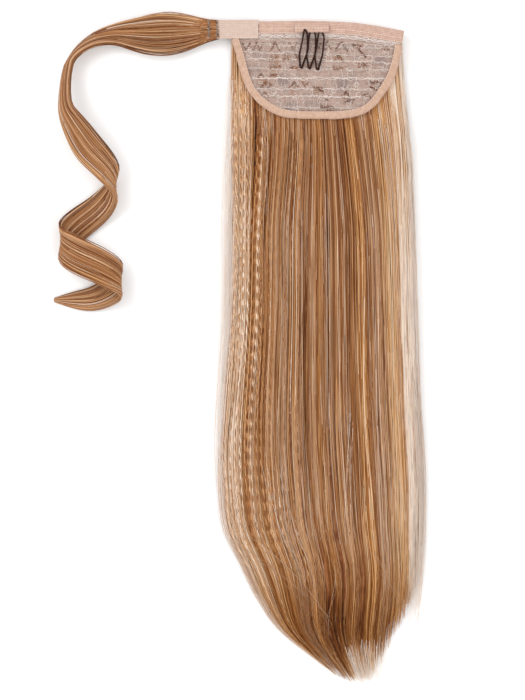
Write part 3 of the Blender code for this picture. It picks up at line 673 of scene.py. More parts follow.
# Dark lines between locks, where painted shade darkens and warms the hair and the strands sink.
DARK_GAPS = (
    # share across, half width, mm down from and to, depth
    (0.105, 0.006, 60, 150, 0.30), (0.405, 0.008, 185, 335, 0.34), (0.445, 0.020, 390, 503, 0.34),
    (0.525, 0.006, 150, 420, 0.16), (0.345, 0.006, 120, 300, 0.15), (0.600, 0.006, 90, 300, 0.16),
    (0.760, 0.005, 90, 400, 0.14), (0.235, 0.006, 330, 430, 0.18), (0.640, 0.016, 420, 485, 0.07),
    (0.180, 0.005, 90, 330, 0.14), (0.290, 0.005, 90, 260, 0.12), (0.470, 0.005, 90, 350, 0.14),
    (0.970, 0.010, 20, 180, 0.38), (0.942, 0.007, 60, 150, 0.30), (0.490, 0.045, 425, 500, 0.10))
PALE_ENDS = 0.62            # how much lighter the thin ends of the middle are
BASE_FOOT = 78 * MM         # down to here the hair lies under the base
HAIR_FREE = 92 * MM         # from here on it lies free
UNDER_BASE = 0.45 * MM      # how far the hair is pressed down under the base, at least
SLANT_DOWN = (380, 503)     # mm down between which the slanted right side cuts strands off
OUTER_SHARE = 0.97          # strands further right than this share
OUTER_REACH = 425 * MM      # reach at least this far down
LEFT_SHARE = 0.3            # strands further left than this share
LEFT_SHORTER = 0.06         # end up to this share of the length sooner
LOWEST_STRAND = 0.5 * MM    # no strand's middle comes closer to the floor
STRAND_POINTS = 29
STRAND_THICKNESS_AT_ROOT = 0.54 * MM


def gap_depth(across, down):
    """How deep the dark line between two locks is, here: strands sink into it, and it is painted
    shade.
    """
    total = 0.0
    for centre, width, first, last, depth in DARK_GAPS:
        beside = np.exp(-((across - centre) / width) ** 2)
        window = smooth_step(down, (first - 15) * MM, (first + 25) * MM) * (
            1 - smooth_step(down, (last - 25) * MM, (last + 15) * MM))
        total = total + depth * beside * window
    return total


def shade_at(across, down):
    """Tone and warmth of the hair at shares across and distances down."""
    tone, warmth = read_table(SHADES_ACROSS, across)
    tone_down, warmth_down = read_table(SHADES_DOWN, down / HAIR_LENGTH)
    pale = PALE_ENDS * smooth_step(across, 0.43, 0.56) * smooth_step(
        down, 0.93 * HAIR_LENGTH, 0.98 * HAIR_LENGTH)
    # Painted shade: the lines between locks are darker and warmer.
    gap = gap_depth(across, down)
    return tone + tone_down - gap + pale, warmth + warmth_down + 1.2 * gap - 0.5 * pale


def wander(rng, count, at, slowest, fastest, tuft=None):
    """A slow random line for each strand along its length, between about -1 and 1.
    With tuft given, the count lines are made for tufts and shared by their strands."""
    total = 0.0
    for _ in range(3):
        pace = rng.uniform(slowest, fastest, (count, 1))
        size = rng.uniform(0.3, 1.0, (count, 1)) / 3
        shift = rng.uniform(0.0, 1.0, (count, 1))
        if tuft is not None:
            pace, size, shift = pace[tuft], size[tuft], shift[tuft]
        total = total + size * np.sin(2 * pi * (pace * at + shift))
    return total


def tufts_of(rng, left, right, tufts, count):
    """For each strand: its tuft and its place across at the root."""
    centres = np.sort(rng.uniform(left, right, tufts))
    tuft = rng.integers(0, tufts, count)
    across = centres[tuft] + rng.normal(0, 0.006, count)
    return tuft, np.clip(across, 0.002, 0.998)


def strand_ends(rng, across):
    """How far down each strand reaches: to the slanted right side, or close to the tip."""
    shares = np.linspace(0, 1, 41)[:, None]
    down = np.linspace(*SLANT_DOWN, 80)[None, :] * MM
    right = read_table(HAIR_SIDES, down / MM)[1] * MM
    beyond = hair_flow(shares, down) > right + 0.4 * MM
    first = np.where(beyond.any(axis=1), down[0, beyond.argmax(axis=1)], HAIR_LENGTH)
    limit = np.interp(across, shares[:, 0], first)
    limit = np.where(across > OUTER_SHARE, np.maximum(limit, OUTER_REACH), limit)
    shorter = np.abs(rng.normal(0, 0.03, len(across))) + rng.uniform(0, 0.02, len(across))
    shorter += np.where(across < LEFT_SHARE, rng.uniform(0, LEFT_SHORTER, len(across)), 0.0)
    return (limit - shorter * HAIR_LENGTH)[:, None]


def cap_lift(places, lift):
    """Keeps strands under the base's layers, down to just past its lower edge."""
    down = PLACE[1] - places[..., 1]
    free = smooth_step(down, BASE_FOOT, HAIR_FREE)
    return lift * free + np.minimum(lift, -UNDER_BASE) * (1 - free)


# %% One batch of straight strands
def straight_strands(rng, left, right, count, tufts, spread, lift):
    """Strands down the hair between two places across. Returns lines and their values."""
    tuft, across = tufts_of(rng, left, right, tufts, count)
    share = np.linspace(0, 1, STRAND_POINTS)[None, :]
    start = hair_start(across)[:, None]
    down = start + share * (strand_ends(rng, across) - start)
    drift = wander(rng, tufts, share, 0.3, 1.4, tuft) * 0.010 * share
    drift += wander(rng, count, share, 0.5, 3.0) * (0.006 + 0.014 * share)
    places = hair_place(across[:, None] + drift, down)
    tuft_lift = rng.uniform(-0.5, 0.5, tufts)[tuft][:, None]
    own_lift = rng.uniform(-1.3, 0.5, (count, 1)) + tuft_lift + 0.4 * wander(
        rng, count, share, 0.5, 2.5)
    own_lift = own_lift - 3.0 * gap_depth(across[:, None], down)
    places[..., 2] += cap_lift(places, own_lift * lift)
    places[..., 2] = np.maximum(places[..., 2], LOWEST_STRAND)
    tone, warmth = shade_at(across[:, None], down)
    # The quick wander of tone along each strand is partly the hair's own colour and partly painted
    # glints.
    tone = tone + (rng.normal(0, 0.6 * spread, tufts)[tuft] + rng.normal(
        0, spread, count))[:, None] + 0.16 * wander(rng, count, share, 2, 8)
    warmth = warmth + (rng.normal(0, 0.12, tufts)[tuft] + rng.normal(0, 0.12, count))[:, None]
    taper = 1 - 0.65 * smooth_step(share, 0.8, 1.0)
    thickness = rng.uniform(0.75, 1.25, (count, 1)) * taper * STRAND_THICKNESS_AT_ROOT
    return places, tone, warmth, thickness


def flat(values):
    """Clipped to 0 to 1 and laid out strand after strand."""
    return np.clip(values, 0, 1).ravel()


def strand_piece(name, batch, slot, frizz=0.3 * MM, seed=1.0):
    """A batch of strands as one finished piece."""
    places, tone, warmth, thickness = batch
    values = {"tone": flat(tone), "warmth": flat(warmth), "thickness": thickness.ravel()}
    hand_over(line_piece(name, list(places), values, hair_strand_finish, frizz=frizz,
                         seed=seed), slot)


rng = np.random.default_rng(21)
for name, left, right, count, tufts, spread, lift, seed in (
        ("hair_middle_strands", 0.36, 0.72, 1060, 210, 0.15, 1.1 * MM, 3.0),
        ("hair_right_strands", 0.70, 0.998, 930, 180, 0.13, 1.1 * MM, 4.0),
        ("hair_left_strands", 0.002, 0.38, 620, 150, 0.15, 1.3 * MM, 5.0)):
    strand_piece(name, straight_strands(rng, left, right, count, tufts, spread, lift),
                 "hair", seed=seed)


# %% [markdown]
# ## Crimped hair at the left
# The left third has been pressed in small waves about 10 mm long, so that the thick hair
# stands up and takes light in rows of spots. Waves that short need four points each, so this
# hair has fewer and thicker strands. Strands of one lock wave together, and the crests are
# lifted and get a painted highlight: a lighter, less warm tone where they catch the light.

# %% Crimped strands
CRIMP_PITCH = 10.3 * MM
CRIMP_START = 48 * MM
CRIMP_GROUPS = 26           # strands of one group wave together
CRIMP_LOCKS = (
    # across, first mm down, last mm down, strength, width across
    (0.035, 50, 270, 0.9, 0.038), (0.145, 60, 300, 0.8, 0.018), (0.090, 120, 260, 0.5, 0.025),
    (0.140, 210, 360, 0.4, 0.050), (0.060, 300, 400, 0.7, 0.060), (0.240, 340, 410, 0.5, 0.080))


def crimp_strength(across, down):
    """How strongly the hair is pressed in waves, here."""
    total = np.full(np.broadcast(across, down).shape, 0.18)
    for centre, first, last, strength, width in CRIMP_LOCKS:
        there = np.exp(-((across - centre) / width) ** 2) * strength
        there = there * smooth_step(down, (first - 20) * MM, (first + 20) * MM)
        total = total + there * (1 - smooth_step(down, (last - 40) * MM, (last + 40) * MM))
    return total * smooth_step(down, 20 * MM, 60 * MM) * (
        1 - smooth_step(down, 400 * MM, 470 * MM))


def crimped_strands(rng, left, right, count, tufts, thick):
    """Strands with short waves, four points to a wave. Returns lines and their values."""
    tuft, across = tufts_of(rng, left, right, tufts, count)
    start = hair_start(across)[:, None]
    ends = strand_ends(rng, across)
    share = np.arange(0, 1, CRIMP_PITCH / 4 / (0.9 * HAIR_LENGTH))[None, :]
    down = CRIMP_START + share * (ends - CRIMP_START)
    down = np.concatenate((start, (start + CRIMP_START) / 2, down, ends), axis=1)
    share = down / ends
    drift = wander(rng, tufts, share, 0.3, 1.2, tuft) * 0.008 * share
    drift += wander(rng, count, share, 0.5, 2.5) * 0.005
    places = hair_place(across[:, None] + drift, down)
    strength = crimp_strength(across[:, None], down)
    group = np.floor(across * CRIMP_GROUPS)
    phase = (2 * pi * down / CRIMP_PITCH + 0.5 * group[:, None]
             + rng.normal(0, 0.45, (count, 1)) + 0.9 * np.sin(down / (70 * MM) + group[:, None])
             + 0.8 * wander(rng, count, share, 2, 6))
    strength = strength * (0.75 + 0.6 * wander(rng, count, share, 3, 9))
    places[..., 0] += 0.55 * MM * strength * np.sin(phase)
    own_lift = rng.uniform(-0.5, 0.9, (count, 1)) * MM
    lift = own_lift + 1.0 * MM * strength * np.cos(phase + 0.8)
    places[..., 2] += cap_lift(places, lift)
    places[..., 2] = np.maximum(places[..., 2], LOWEST_STRAND)
    tone, warmth = shade_at(across[:, None], down)
    tone = tone + (rng.normal(0, 0.05, tufts)[tuft] + rng.normal(0, 0.13, count))[:, None]
    # Painted highlight: the crests get a lighter tone here and less warmth on the next line. The
    # quick wander of tone is partly the hair's own colour and partly painted glints.
    tone = tone + 0.10 * strength * np.cos(phase + 0.8) + 0.14 * wander(rng, count, share, 2, 8)
    warmth = warmth + rng.normal(0, 0.14, count)[:, None] - 0.08 * strength * np.cos(phase)
    taper = 1 - 0.6 * smooth_step(share, 0.8, 1.0)
    thickness = rng.uniform(0.8, 1.2, (count, 1)) * taper * thick
    return places, tone, warmth, thickness


rng = np.random.default_rng(31)
strand_piece("hair_crimped_outer", crimped_strands(rng, 0.004, 0.19, 120, 40, 0.76 * MM),
             "hair", frizz=0.25 * MM, seed=6.0)
strand_piece("hair_crimped_inner", crimped_strands(rng, 0.19, 0.37, 80, 30, 0.70 * MM),
             "hair", frizz=0.25 * MM, seed=7.0)


# %% [markdown]
# ## Flyaways
# No ponytail has a clean outline. Fine pale strands bow out of the left side as a thin veil,
# wisps follow the lower sides and end in the open, and a few stray strands cross the front.
# Each group is a row of one table: where it starts and ends down the hair, at what share
# across, and how far its strands stray from the side or run across the others.

# %% Fine strands outside and across the hair
FLYAWAYS = (
    # count, share across, spread, mm down from and to, mm outwards at most, share crossed, tone
    (22, 0.004, 0.010, 70, 330, -9.5, 0.00, 0.97), (16, 0.002, 0.010, 150, 420, -6.5, 0.00, 0.95),
    (16, 0.003, 0.010, 330, 470, -3.5, 0.00, 0.85), (30, 0.012, 0.020, 400, 492, -4.5, 0.00, 0.75),
    (20, 0.995, 0.010, 110, 420, 3.5, 0.00, 0.97), (46, 0.985, 0.020, 280, 460, 3.8, 0.00, 1.00),
    (5, 0.080, 0.030, 395, 462, 0.0, 0.35, 0.72), (4, 0.700, 0.012, 400, 450, 0.0, 0.22, 0.80),
    (7, 0.250, 0.030, 330, 440, 0.0, 0.10, 0.90), (5, 0.640, 0.010, 300, 400, 0.0, -0.06, 0.95),
    (2, 0.520, 0.060, 420, 488, 0.0, -0.14, 0.60), (8, 0.150, 0.030, 60, 200, 0.0, 0.06, 0.85),
    (34, 0.720, 0.060, 472, 503, 0.0, 0.00, 1.00), (18, 0.570, 0.025, 476, 503, 0.0, 0.00, 1.00),
    (10, 0.880, 0.020, 60, 300, 0.0, 0.05, 0.90), (24, 0.500, 0.200, 120, 400, 0.0, 0.02, 0.92),
    (30, 0.275, 0.025, 430, 500, 0.0, 0.00, 0.48))
FLYAWAY_POINTS = 15


def flyaway_strands(rng):
    """Thin strands group by group. Returns lines and their values."""
    batches = []
    for count, across, spread, first, last, outwards, crossed, tone in FLYAWAYS:
        share = np.linspace(0, 1, FLYAWAY_POINTS)[None, :]
        slack = 0.12 * (last - first)
        start = (first + rng.uniform(-slack, slack, (count, 1))) * MM
        end = (last + rng.uniform(-1.5 * slack, 0.2 * slack, (count, 1))) * MM
        down = start + share * (end - start)
        run = across + rng.normal(0, spread, (count, 1)) + crossed * share * rng.uniform(
            0.6, 1.3, (count, 1)) + 0.006 * wander(rng, count, share, 0.5, 3)
        places = hair_place(run, down)
        reach = outwards * rng.uniform(0.15, 1.0, (count, 1)) * MM
        places[..., 0] += reach * np.sin(pi * share ** 0.8) ** 0.7
        outside = np.clip(np.abs(reach) / (3 * MM), 0, 1) * np.sin(pi * share)
        lifted = places[..., 2] + rng.uniform(0.3, 1.2, (count, 1)) * MM
        places[..., 2] = np.maximum(lifted - 1.2 * MM * outside, LOWEST_STRAND)
        own = tone + rng.normal(0, 0.06, (count, 1)) + 0 * share
        thick = rng.uniform(0.22, 0.38, (count, 1)) * MM * (1 - 0.5 * share)
        batches.append((places, own, 0.15 + 0 * own, thick))
    return [np.concatenate([batch[i] for batch in batches]) for i in range(4)]


strand_piece("hair_flyaways", flyaway_strands(np.random.default_rng(35)), "hair", seed=14.0)

# %% [markdown]
# ## The loose strand
# A lock of hair leaves the hook tape, swells, turns down in a bend and falls in two loose
# curls. Its middle line and its flattened cross-section come from two tables. Strands run
# along its surface and keep their place in the cross-section, so their streaks follow the
# curls, and a slimmer packed lock fills it.

# %% Stations along the loose strand
TAPE_LENGTH = 39.5 * MM
TAPE_WIDTH = 14.4 * MM
TAPE_RAISE = 0.8 * MM
STRAND_REACH = 115.0 * MM
STRAND_ROOT_OVERLAP = 9.0 * MM
STRAND_THICKNESS = 5.0 * MM
CURL_LENGTH = 158.0 * MM
CURL_RADIUS = 21.5 * MM
CURL_HEIGHT = 10.5 * MM
CURL_AXIS = 0.878
CURL_DROP = 0.077
ROOT_SECTIONS = (
    # number, left, down, height, width, thickness, tilt
    (0, 0.000, 0.000, 0.040, 0.120, 0.48, 0), (1, 0.083, 0.008, 0.040, 0.150, 0.60, 0),
    (2, 0.198, 0.018, 0.042, 0.228, 1.55, 0), (3, 0.317, 0.028, 0.052, 0.284, 2.20, 0),
    (4, 0.449, 0.034, 0.049, 0.274, 2.05, 2), (5, 0.600, 0.030, 0.048, 0.196, 1.60, 10),
    (6, 0.700, 0.036, 0.055, 0.142, 1.30, 22), (7, 0.838, 0.076, 0.066, 0.112, 1.10, 45),
    (8, 0.962, 0.182, 0.072, 0.090, 0.95, 66), (9, 1.008, 0.302, 0.082, 0.078, 0.90, 78))
CURL_SECTIONS = (
    # number, angle, down, radius, width, thickness
    (0, -75, 0.000, 1.07, 0.060, 0.85), (1, -58, 0.072, 1.07, 0.078, 0.88),
    (2, -38, 0.144, 1.03, 0.112, 0.90), (3, -18, 0.220, 0.98, 0.140, 0.90),
    (4, 5, 0.298, 0.95, 0.152, 0.90), (5, 45, 0.372, 0.85, 0.136, 0.90),
    (6, 90, 0.450, 0.85, 0.126, 0.90), (7, 135, 0.520, 0.78, 0.130, 0.90),
    (8, 180, 0.590, 0.95, 0.144, 0.90), (9, 225, 0.655, 0.87, 0.150, 0.90),
    (10, 270, 0.715, 0.99, 0.156, 0.90), (11, 315, 0.768, 0.94, 0.164, 0.90),
    (12, 360, 0.815, 1.05, 0.174, 0.90), (13, 405, 0.864, 0.98, 0.162, 0.90),
    (14, 450, 0.912, 1.05, 0.152, 0.90), (15, 495, 0.960, 0.97, 0.134, 0.85),
    (16, 540, 1.000, 1.00, 0.110, 0.75))
TAIL_LENGTH = 28.0 * MM
TAIL_TIP_WIDTH = 3.0 * MM
BAND_START = 0.163          # where the band begins, as a share of the base's width
tape_left = (BAND_START - BASE_MIDDLE) * BASE_WIDTH - TAPE_LENGTH
strand_root = np.array((tape_left + STRAND_ROOT_OVERLAP, TAPE_RAISE - TAPE_WIDTH / 2))


def soften(rows, times):
    """Rows of numbers with their corners evened out, the two ends as they are."""
    rows = rows.copy()
    for _ in range(times):
        rows[1:-1] = (rows[:-2] + 2 * rows[1:-1] + rows[2:]) / 4
    return rows


def loose_strand_stations(steps):
    """Middle, outward direction, width and thickness, steps to each row of the tables."""
    at = np.arange(0, 9 + 0.5 / steps, 1 / steps)
    left, down, height, width, thickness, tilt = read_table(ROOT_SECTIONS, at)
    middle = np.stack((strand_root[0] - left * STRAND_REACH,
                       strand_root[1] - down * STRAND_REACH, height * STRAND_REACH), axis=1)
    outside = np.stack((-left, 0.75 - 2 * down, 0 * left), axis=1)
    outside /= np.linalg.norm(outside, axis=1)[:, None]
    lean = np.radians(tilt)[:, None]
    out = np.array((0, 0, 1.0)) * np.cos(lean) + outside * np.sin(lean)
    parts = [(middle, out, width * STRAND_REACH, thickness * STRAND_THICKNESS)]
    bend = middle[-1]
    at = np.arange(0.8, 16 + 0.5 / steps, 1 / steps)
    angle, down, radius, width, thickness = read_table(CURL_SECTIONS, at)
    turn = np.radians(angle)
    body = thickness * STRAND_THICKNESS
    middle = np.stack((bend[0] + CURL_AXIS * CURL_RADIUS + CURL_RADIUS * radius * np.sin(turn),
                       bend[1] - (CURL_DROP + down) * CURL_LENGTH,
                       CURL_HEIGHT * (1 + np.cos(turn)) + body / 2), axis=1)
    out = np.stack((np.sin(turn) / CURL_RADIUS, 0 * turn, np.cos(turn) / CURL_HEIGHT), axis=1)
    parts.append((middle, out, width * CURL_LENGTH, body))
    share = np.linspace(0.15, 1, 7)[:, None]
    last = parts[-1][0][-1]
    end_width = width[-1] * CURL_LENGTH
    tail = last + share * np.array((-TAIL_LENGTH, 0, -0.15 * body[-1]))
    parts.append((tail, np.repeat(out[-1:], 7, axis=0),
                  (end_width + (TAIL_TIP_WIDTH - end_width) * share ** 1.4).ravel(),
                  (body[-1] * (1 - 0.6 * share)).ravel()))
    return [soften(np.concatenate([part[i] for part in parts]), steps) for i in range(4)]


def loose_strand_frames(steps):
    """Middle, broad and outward directions, half width and half thickness, by station."""
    middle, out, width, thickness = loose_strand_stations(steps)
    along = np.gradient(middle, axis=0)
    along /= np.linalg.norm(along, axis=1)[:, None]
    broad = np.cross(along, out)
    broad /= np.linalg.norm(broad, axis=1)[:, None]
    out = np.cross(broad, along)
    return middle + PLACE, broad, out, width / 2, thickness / 2


STATION_STEPS = 4           # stations to each row of the tables
middle, broad, out, half_width, half_thick = loose_strand_frames(STATION_STEPS)
print("loose strand:", len(middle), "stations,",
      round(distance_along(middle)[-1] / MM), "mm long")

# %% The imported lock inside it
LOCK_SIDES = 20
LOCK_FILL = 0.86
angles = np.linspace(0, 2 * pi, LOCK_SIDES, endpoint=False)[None, :, None]
ridge = 1 + 0.035 * np.sin(angles * 7 + np.linspace(0, 14, len(middle))[:, None, None])
rings = (middle[:, None] + LOCK_FILL * ridge * (
    broad[:, None] * np.cos(angles) * half_width[:, None, None]
    + out[:, None] * np.sin(angles) * half_thick[:, None, None]))
rings[..., 2] = np.maximum(rings[..., 2], 0.2 * MM)
# Painted shade: the packed lock's low tone darkens the inner hair under its strands.
packed_lock = mesh_piece("loose_strand_core", rings.reshape(-1, 3),
                         swept_faces(len(middle), LOCK_SIDES),
                         packed_hair_finish("packed_lock", 0.30, 0.6, 500.0, 60.0))
hand_over(packed_lock, "strand", "wrap_strand")


# %% Strands along it
def along_loose_strand(rng, count, tufts, thick):
    """Strands on the surface of the loose strand. Returns lines and their values."""
    middle, broad, out, half_width, half_thick = loose_strand_frames(STATION_STEPS)
    at = np.linspace(0, 1, len(middle))[None, :]
    tuft = rng.integers(0, tufts, count)
    side = np.where(rng.uniform(0, 1, count) < 0.6, 1.0, -1.0)[:, None]
    tuft_place = rng.uniform(-0.97, 0.97, tufts)[tuft] + rng.normal(0, 0.05, count)
    across = tuft_place[:, None] + wander(rng, tufts, at, 0.3, 1.5, tuft) * 0.10
    across = np.clip(across + wander(rng, count, at, 0.5, 4.0) * 0.07, -1.0, 1.0)
    depth = rng.uniform(0.86, 1.03, (count, 1)) + 0.04 * wander(rng, count, at, 1, 4)
    rise = np.sqrt(np.maximum(1 - across ** 2, 0.0)) * side
    places = (middle[None] + broad[None] * (across * depth * half_width)[..., None]
              + out[None] * (rise * depth * half_thick)[..., None])
    places[..., 2] = np.maximum(places[..., 2], 0.4 * MM)
    tone = 0.47 + rng.normal(0, 0.11, tufts)[tuft] + rng.normal(0, 0.12, count)
    tone = tone[:, None] + 0.14 * wander(rng, count, at, 2, 9) + 0.05 * np.sin(
        2 * pi * (at * 2.2 + across * 0.2))
    warmth = 0.42 + rng.normal(0, 0.15, tufts)[tuft] + rng.normal(0, 0.1, count)
    warmth = warmth[:, None] + 0 * at
    taper = 1 - 0.6 * smooth_step(at, 0.93, 1.0)
    thickness = rng.uniform(0.75, 1.25, (count, 1)) * taper * thick
    return places, tone, warmth, thickness


rng = np.random.default_rng(41)
strand_piece("loose_strand_hair", along_loose_strand(rng, 222, 140, 0.62 * MM), "strand",
             seed=8.0)

# %% [markdown]
# ## Cloth of the base
# The tapes are woven from fine threads in two directions. The weave is far finer than the
# mesh, so it is made in the material: one node group gives the threads' height and a mask
# from each tape's own UV map, which is laid out in millimetres along and across the tape.
# Its colour factor paints light on the threads' crests and shade in the hollows between
# them, with a cloudy mottling of the cloth's own colour.

# %% The weave group
weave_group, weave_in, weave_out = new_group(
    "woven_cloth", (("Place", "Vector", None), ("Threads along", "Float", 1.0),
                    ("Threads across", "Float", 1.5), ("Unevenness", "Float", 0.5)),
    (("Height", "Float", None), ("Light", "Float", None), ("Worn", "Float", None)))


def math_node(tree, operation, first, second=0.0):
    """The result of one Math node."""
    return add_node(tree, "ShaderNodeMath", {0: first, 1: second},
                    operation=operation).outputs["Value"]


def build_weave(tree, given, result):
    """Two sets of ribs that cross, shaken by noise."""
    cloudy = add_node(tree, "ShaderNodeTexNoise",
                      {"Vector": given.outputs["Place"], "Scale": 0.35, "Detail": 4.0})
    patchy = add_node(tree, "ShaderNodeTexNoise",
                      {"Vector": given.outputs["Place"], "Scale": 1.7, "Detail": 3.0})
    parts = add_node(tree, "ShaderNodeSeparateXYZ", {"Vector": given.outputs["Place"]})
    ribs = []
    for axis, density in (("X", "Threads across"), ("Y", "Threads along")):
        turns = math_node(tree, "MULTIPLY", parts.outputs[axis], given.outputs[density])
        shaken = math_node(tree, "MULTIPLY", patchy.outputs["Fac"], given.outputs["Unevenness"])
        turned = math_node(tree, "MULTIPLY", math_node(tree, "ADD", turns, shaken), 2 * pi)
        wave = math_node(tree, "SINE", turned)
        ribs.append(math_node(tree, "MULTIPLY", math_node(tree, "ADD", wave, 1.0), 0.5))
    height = math_node(tree, "ADD", math_node(tree, "MULTIPLY", ribs[0], 0.35),
                       math_node(tree, "MULTIPLY", ribs[1], 0.65))
    # Painted light and shade: raised threads are lighter and the hollows between them darker; the
    # cloudy noise adds mottling of the cloth's own colour.
    light = math_node(tree, "ADD", math_node(tree, "MULTIPLY", height, 0.45),
                      math_node(tree, "MULTIPLY", cloudy.outputs["Fac"], 0.55))
    tree.links.new(height, result.inputs["Height"])
    tree.links.new(light, result.inputs["Light"])
    tree.links.new(patchy.outputs["Fac"], result.inputs["Worn"])


build_weave(weave_group, weave_in, weave_out)
print("woven_cloth:", len(weave_group.nodes), "nodes")


# %% A cloth material
def woven(tree, along, across, unevenness):
    """The outputs of the weave group, laid on the piece's own map in millimetres."""
    place = add_node(tree, "ShaderNodeUVMap", uv_map="cloth")
    return add_node(tree, "ShaderNodeGroup",
                    {"Place": place.outputs["UV"], "Threads along": along,
                     "Threads across": across, "Unevenness": unevenness},
                    node_tree=weave_group).outputs


def cloth_finish(name, dark, light, along, across, depth):
    """Woven cloth between two colours."""
    made, tree, shader = new_material(name, Specular_IOR_Level=0.2, Sheen_Weight=0.25,
                                      Sheen_Roughness=0.5)
    weave = woven(tree, along, across, 0.35)
    rough = add_node(tree, "ShaderNodeMapRange",
                     {"Value": weave["Worn"], "To Min": 0.7, "To Max": 0.95})
    # The colour follows the weave's painted light and shade and its mottling.
    dress(tree, shader, ramp(tree, weave["Light"], ((0.25, dark), (0.75, light))),
          rough.outputs["Result"], weave["Height"], 0.7, depth)
    return made


binding_finish = cloth_finish("peach_binding", (178, 138, 113), (215, 184, 164), 1.1, 1.3,
                              0.25 * MM)
band_finish = cloth_finish("peach_band", (176, 137, 119), (213, 183, 168), 0.75, 1.6, 0.3 * MM)
hook_finish = cloth_finish("cream_hook_tape", (188, 163, 147), (210, 187, 174), 0.7, 0.7,
                           0.15 * MM)

# %% [markdown]
# ## The folded tapes
# A bias tape is folded over the raw edge of the net, so that it shows on both sides. We sweep
# the folded section, a thin wall in the shape of a narrow U, along the edge of the base. The
# seam pulls a real tape in, so its fold puckers a little as it goes.

# %% The outline of the base
BASE_CURVE = (
    # number, across, down, from the upper left corner round the bottom
    (0, 0.000, 0.174), (1, 0.033, 0.354), (2, 0.071, 0.596), (3, 0.115, 0.753),
    (4, 0.180, 0.869), (5, 0.262, 0.953), (6, 0.345, 0.990), (7, 0.452, 1.000),
    (8, 0.637, 0.996), (9, 0.747, 0.960), (10, 0.822, 0.883), (11, 0.893, 0.720),
    (12, 0.945, 0.560), (13, 0.981, 0.341), (14, 1.000, 0.097))
CLOTH = 1.0 * MM
SEAT_GAP = 0.3 * MM
LEAF_LEVEL = SEAT_GAP
NET_LEVEL = LEAF_LEVEL + CLOTH + SEAT_GAP
UPPER_LEVEL = NET_LEVEL + CLOTH + SEAT_GAP
WIRE_LEVEL = UPPER_LEVEL + CLOTH + SEAT_GAP
FOLD_HEIGHT = 3 * CLOTH + 2 * SEAT_GAP
BINDING_WIDTH = 5.8 * MM
BINDING_UNDER = 4.6 * MM
BAND_WIDTH = 10.0 * MM
TAPE_WALL = 0.75 * MM
FOLD_SHARE = 0.57           # length of the fold's bend, as a share of its height


def base_x(across):
    """The drawing's x of a share of the base's width."""
    return (across - BASE_MIDDLE) * BASE_WIDTH


across, down = read_table(BASE_CURVE, np.linspace(0, 14, 281))
curved_edge = np.stack((base_x(across), -down * BASE_DEPTH), axis=1)
corner_drop = BASE_TOP[-1][1] * BASE_DEPTH
left_stop = -(TAPE_WIDTH - TAPE_RAISE + 0.4 * MM)
right_stop = -(corner_drop + BAND_WIDTH + 2 * SEAT_GAP)
stops = np.where(curved_edge[:, 0] < 0, left_stop, right_stop)
binding_line = curved_edge[curved_edge[:, 1] < stops]
band_x = np.linspace(base_x(1.0), base_x(BAND_START), 90)
band_line = np.stack((band_x, -straight_edge(band_x)), axis=1)
print("binding", round(distance_along(binding_line)[-1] / MM), "mm long")


# %% A section swept along a line
def inward_of(line):
    """The direction to the left of a line in the plane, at each of its points."""
    along = np.gradient(line, axis=0)
    along /= np.linalg.norm(along, axis=1)[:, None]
    return np.stack((-along[:, 1], along[:, 0]), axis=1)


def folded_section(width, under, wall):
    """Distances in from the fold and heights, round the folded tape's wall."""
    radius = FOLD_HEIGHT / 2
    turn = np.linspace(-pi / 2, -3 * pi / 2, 9)
    outer = [(radius + radius * np.cos(a), radius + radius * np.sin(a)) for a in turn]
    small = radius - wall
    inner = [(radius + small * np.cos(a), radius + small * np.sin(a)) for a in turn[::-1]]
    upper = [(x, FOLD_HEIGHT) for x in np.linspace(radius, width - 0.2 * MM, 5)[1:]]
    upper += [(width, FOLD_HEIGHT - 0.3 * MM), (width, FOLD_HEIGHT - wall)]
    return np.array([(under, 0.0)] + outer + upper + inner + [(under, wall)])


def set_cloth_map(mesh, along, across):
    """Writes the map that the weave follows, in millimetres."""
    vertex = np.zeros(len(mesh.loops), np.int32)
    mesh.loops.foreach_get("vertex_index", vertex)
    layer = mesh.uv_layers.new(name="cloth")
    places = np.stack((along.ravel()[vertex], across.ravel()[vertex]), axis=1) / MM
    layer.data.foreach_set("uv", places.astype(np.float32).ravel())


def folded_tape(name, line, width, under, finish, pucker, rng):
    """A tape folded over the net's edge along a line. Returns it with its flat size."""
    section = folded_section(width, under, TAPE_WALL)
    inward = inward_of(line)
    length = distance_along(line)
    phase = rng.uniform(0, 6, 4)
    wave = (np.sin(length / (3.1 * MM) + phase[0]) * 0.5 + np.sin(length / (7.7 * MM) + phase[1])
            + 0.6 * np.sin(length / (1.9 * MM) + phase[2])) * pucker
    inset = section[None, :, 0] + wave[:, None] * (1 - section[None, :, 0] / width)
    flat_place = line[:, None] + inward[:, None] * inset[..., None]
    height = section[None, :, 1] * (1 + 0.04 * np.sin(length / (4.3 * MM) + phase[3]))[:, None]
    rings = over_hair(flat_place[..., 0], flat_place[..., 1], LEAF_LEVEL + height)
    count = len(section)
    piece = mesh_piece(name, rings.reshape(-1, 3), swept_faces(len(line), count), finish)
    set_cloth_map(piece.data, np.repeat(length, count),
                  np.tile(distance_along(section), len(line)))
    return piece, length[-1], width + under + FOLD_HEIGHT * FOLD_SHARE


# %% Binding and band
rng = np.random.default_rng(51)
binding, length, width = folded_tape("edge_binding_tape", binding_line, BINDING_WIDTH,
                                     BINDING_UNDER, binding_finish, 0.16 * MM, rng)
hand_over(binding, "binding", "edge_binding")
band, length, width = folded_tape("top_band_tape", band_line, BAND_WIDTH,
                                  BAND_WIDTH - CLOTH, band_finish, 0.08 * MM, rng)
hand_over(band, "band", "top_band")


# %% [markdown]
# ## Flat pieces of cloth
# The hook tape and the patch over the comb are short flat strips. The lace ground is a flat
# sheet too. Each is a grid of points on the hair's height, with a lower and an upper side.

